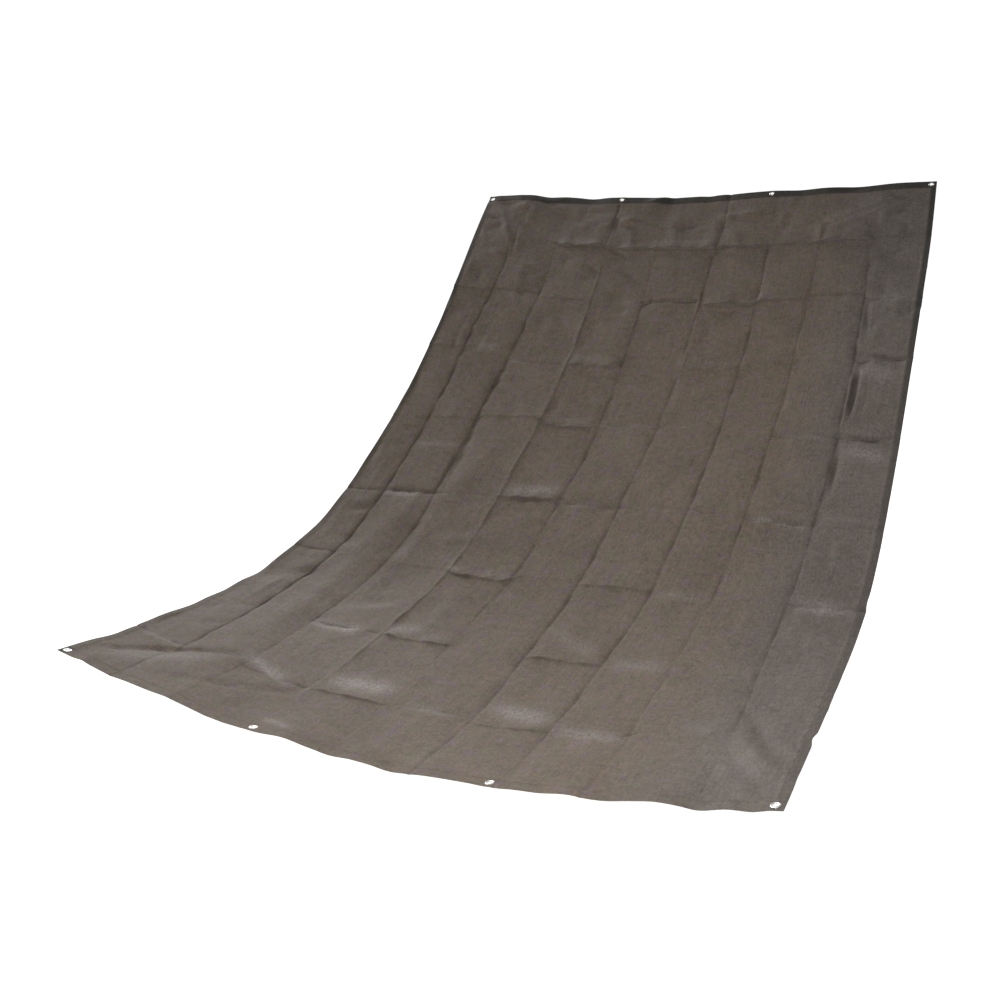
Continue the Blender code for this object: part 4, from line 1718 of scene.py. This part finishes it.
@dataclass
class HemStitching:
    """Lockstitches that hold the hems: short thread lengths that dip into the cloth."""

    form: ClothForm
    finish: Material
    pitch: float = 0.0070
    thread: float = 0.00042
    inset: float = 0.0350
    side_inset: float = 0.0215
    end_gap: float = 0.004
    cloth: float = 0.0011
    foot_cloth: float = 0.00065
    sides: int = 5
    rings: int = 4

    def line(self, start: tuple[float, float], end: tuple[float, float]) -> np.ndarray:
        """Flat places of the stitch holes along a straight seam, both ends in panels.

        Args:
            start: Where the seam starts.
            end: Where it ends.

        Returns:
            The places.
        """
        form = self.form
        run = math.hypot((end[0] - start[0]) * form.panel_width, (end[1] - start[1]) * form.panel_length)
        count = int(run / self.pitch)
        share = np.linspace(0.0, 1.0, count + 1)[:, None]
        return np.array(start) * (1.0 - share) + np.array(end) * share

    def stitches(self, name: str, seam: np.ndarray, level: float) -> Piece:
        """Make one seam's stitches on both faces of the cloth as one mesh.

        Args:
            name: The piece's name.
            seam: Flat places of the stitch holes.
            level: Height of the cloth's face over its middle.

        Returns:
            The finished object.
        """
        form = self.form
        verts: list = []
        faces: list = []
        share = np.linspace(0.06, 0.94, self.rings)
        for side in (1.0, -1.0):
            across = seam[:-1, None, 0] * (1.0 - share) + seam[1:, None, 0] * share
            along = seam[:-1, None, 1] * (1.0 - share) + seam[1:, None, 1] * share
            arch = np.sin(math.pi * share) * self.thread * 1.1 - self.thread * 0.5
            height = np.broadcast_to(side * (level + arch), across.shape)
            middle = form.skin(across, along, height)
            outward = form.normals(across, along)
            run = np.gradient(middle, axis=1)
            run = run / np.linalg.norm(run, axis=-1, keepdims=True)
            aside = np.cross(run, outward)
            for number in range(len(middle)):
                self.tube(verts, faces, middle[number], aside[number], outward[number], share)
        mesh = bpy.data.meshes.new(name)
        mesh.from_pydata(verts, [], faces)
        mesh.update()
        mesh.shade_smooth()
        mesh.materials.append(self.finish)
        piece = bpy.data.objects.new(name, mesh)
        bpy.context.scene.collection.objects.link(piece)
        return piece

    def tube(
        self,
        verts: list,
        faces: list,
        middle: np.ndarray,
        aside: np.ndarray,
        outward: np.ndarray,
        share: np.ndarray,
    ) -> None:
        """Add one stitch, a short closed tube that narrows at its ends.

        Args:
            verts: The seam's points so far.
            faces: The seam's faces so far.
            middle: Points along the stitch.
            aside: Sideways directions there.
            outward: Outward directions there.
            share: Shares of the stitch's length there.
        """
        first = len(verts)
        radius = self.thread * (0.55 + 0.45 * np.sin(math.pi * share))
        turns = np.arange(self.sides) * math.tau / self.sides
        for ring in range(self.rings):
            for turn in turns:
                spoke = aside[ring] * math.cos(turn) + outward[ring] * math.sin(turn)
                verts.append((middle[ring] + radius[ring] * spoke).tolist())
        for ring in range(self.rings - 1):
            low = first + ring * self.sides
            for side in range(self.sides):
                after = (side + 1) % self.sides
                faces.append((low + side, low + self.sides + side, low + self.sides + after, low + after))
        faces.append(tuple(first + side for side in range(self.sides)))
        last = first + (self.rings - 1) * self.sides
        faces.append(tuple(last + side for side in reversed(range(self.sides))))

    def dress(self) -> list[Piece]:
        """Sew the seams of both ends and both sides.

        Returns:
            The stitches of the top, foot, left and right hem.
        """
        across = self.side_inset / self.form.panel_width
        near = self.end_gap / self.form.panel_width
        past = (self.form.hem + self.end_gap) / self.form.panel_length
        along = self.inset / self.form.panel_length
        seams = {
            "top_hem_stitches": ((near, along), (PANELS - near, along)),
            "foot_hem_stitches": ((near, PANELS - along), (PANELS - near, PANELS - along)),
            "left_hem_stitches": ((across, past), (across, PANELS - past)),
            "right_hem_stitches": ((PANELS - across, past), (PANELS - across, PANELS - past)),
        }
        pieces = []
        for name, (start, end) in seams.items():
            level = self.foot_cloth if name == "foot_hem_stitches" else self.cloth
            piece = self.stitches(name, self.line(start, end), level)
            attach(piece, "root")
            pieces.append(piece)
        return pieces


@dataclass
class Studio:
    """Plain pale floor, soft lights and the camera."""

    floor_height: float
    camera_place: tuple = (1.365, -4.415, -0.350)
    camera_turn: float = 24.6
    camera_tilt: float = -9.1
    lens: float = 37.3
    sensor: float = 36.0
    shift: tuple = (-0.055, -0.055)
    floor_radius: float = 40.0
    floor_glow: float = 0.96
    sky_light: float = 0.05
    sky_seen: float = 1.05

    def floor(self) -> Piece:
        """A wide plain floor just under the lowest fold.

        Returns:
            The floor.
        """
        clear_selection()
        place = (0.0, 0.0, self.floor_height)
        bpy.ops.mesh.primitive_circle_add(
            vertices=96, radius=self.floor_radius, fill_type="NGON", location=place
        )
        ground = bpy.context.object
        ground.name = "studio_floor"
        palette = Palette("pale_floor")
        palette.feed(palette.shader.inputs["Base Color"], (0.88, 0.88, 0.88, 1.0))
        palette.feed(palette.shader.inputs["Roughness"], 0.95)
        palette.feed(palette.shader.inputs["Emission Color"], (1.0, 1.0, 1.0, 1.0))
        palette.feed(palette.shader.inputs["Emission Strength"], self.floor_glow)
        ground.data.materials.append(palette.material)
        ground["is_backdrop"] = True
        return ground

    def near_light(
        self, name: str, place: Vector, aim: Vector, size: float, power: float, colour: tuple
    ) -> None:
        """Add one soft square light.

        Args:
            name: The light's name.
            place: Where it stands.
            aim: The point that it faces.
            size: The length of its sides.
            power: Its strength.
            colour: Its colour.
        """
        data = bpy.data.lights.new(name, "AREA")
        data.shape = "SQUARE"
        data.size = size
        data.energy = power
        data.color = colour
        lamp = bpy.data.objects.new(name, data)
        lamp.location = place
        lamp.rotation_euler = (place - aim).to_track_quat("Z", "Y").to_euler()
        lamp.visible_camera = False
        bpy.context.scene.collection.objects.link(lamp)

    def distant_light(self, name: str, source: Vector, angle: float, power: float, colour: tuple) -> None:
        """Add one soft distant light.

        Args:
            name: The light's name.
            source: The direction that it comes from.
            angle: How wide it looks from the cloth, in degrees.
            power: Its strength.
            colour: Its colour.
        """
        data = bpy.data.lights.new(name, "SUN")
        data.angle = math.radians(angle)
        data.energy = power
        data.color = colour
        lamp = bpy.data.objects.new(name, data)
        lamp.location = source * 6.0
        lamp.rotation_euler = source.to_track_quat("Z", "Y").to_euler()
        bpy.context.scene.collection.objects.link(lamp)

    def lights(self) -> None:
        """Light the cloth from above, behind and the left, with softer light from the front."""
        middle = Vector((0.0, -1.3, -1.0))
        warm = (1.0, 0.98, 0.95)
        self.distant_light("key", Vector((-0.75, 0.58, 0.62)), 38.0, 1.60, warm)
        self.near_light("front", Vector((0.62, -3.10, 0.36)), middle, 0.9, 30.5, warm)
        self.near_light("side", Vector((-2.2, -0.6, 0.0)), middle, 0.7, 4.3, warm)

    def sky(self) -> None:
        """Even surroundings, plain white where they are seen."""
        world = bpy.data.worlds.new("studio_surroundings")
        world.use_nodes = True
        tree = world.node_tree
        back = tree.nodes["Background"]
        seen = tree.nodes.new("ShaderNodeLightPath")
        strength = tree.nodes.new("ShaderNodeMapRange")
        strength.inputs["To Min"].default_value = self.sky_light
        strength.inputs["To Max"].default_value = self.sky_seen
        tree.links.new(seen.outputs["Is Camera Ray"], strength.inputs["Value"])
        tree.links.new(strength.outputs["Result"], back.inputs["Strength"])
        back.inputs["Color"].default_value = (1.0, 1.0, 1.0, 1.0)
        bpy.context.scene.world = world

    def camera(self) -> None:
        """Set the camera where the picture was taken from."""
        data = bpy.data.cameras.new("camera")
        data.lens = self.lens
        data.sensor_width = self.sensor
        data.sensor_fit = "HORIZONTAL"
        data.shift_x, data.shift_y = self.shift
        data.clip_end = 200.0
        eye = bpy.data.objects.new("camera", data)
        eye.location = self.camera_place
        eye.rotation_euler = (math.radians(90.0 + self.camera_tilt), 0.0, math.radians(self.camera_turn))
        bpy.context.scene.collection.objects.link(eye)
        bpy.context.scene.camera = eye

    def dress(self) -> None:
        """Build the whole studio."""
        self.camera()
        self.floor()
        self.lights()
        self.sky()
        bpy.context.scene.view_settings.view_transform = "Standard"


def main() -> None:
    """Load the frame, build each piece on it and set up the studio."""
    logging.basicConfig(level=logging.INFO, format="%(name)s: %(message)s")
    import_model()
    form = ClothForm()
    net_finish = KnitFinish("net_knit").material()
    strip_finish = KnitFinish("hem_knit").material()
    net = ShadeNet(form, net_finish).dress()
    LOG.info("%s: %d faces", net.name, len(net.data.polygons))
    strips = [HemStrip(form, strip_finish, end=end).dress() for end in End]
    rings = Eyelet(form, MetalFinish().material()).dress()
    threads = HemStitching(form, ThreadFinish().material()).dress()
    for piece in (*strips, *rings, *threads):
        LOG.info("%s: %d faces", piece.name, len(piece.data.polygons))
    lowest = float(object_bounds()[0][2])
    Studio(floor_height=lowest - FLOOR_GAP).dress()


if __name__ == "__main__":
    main()
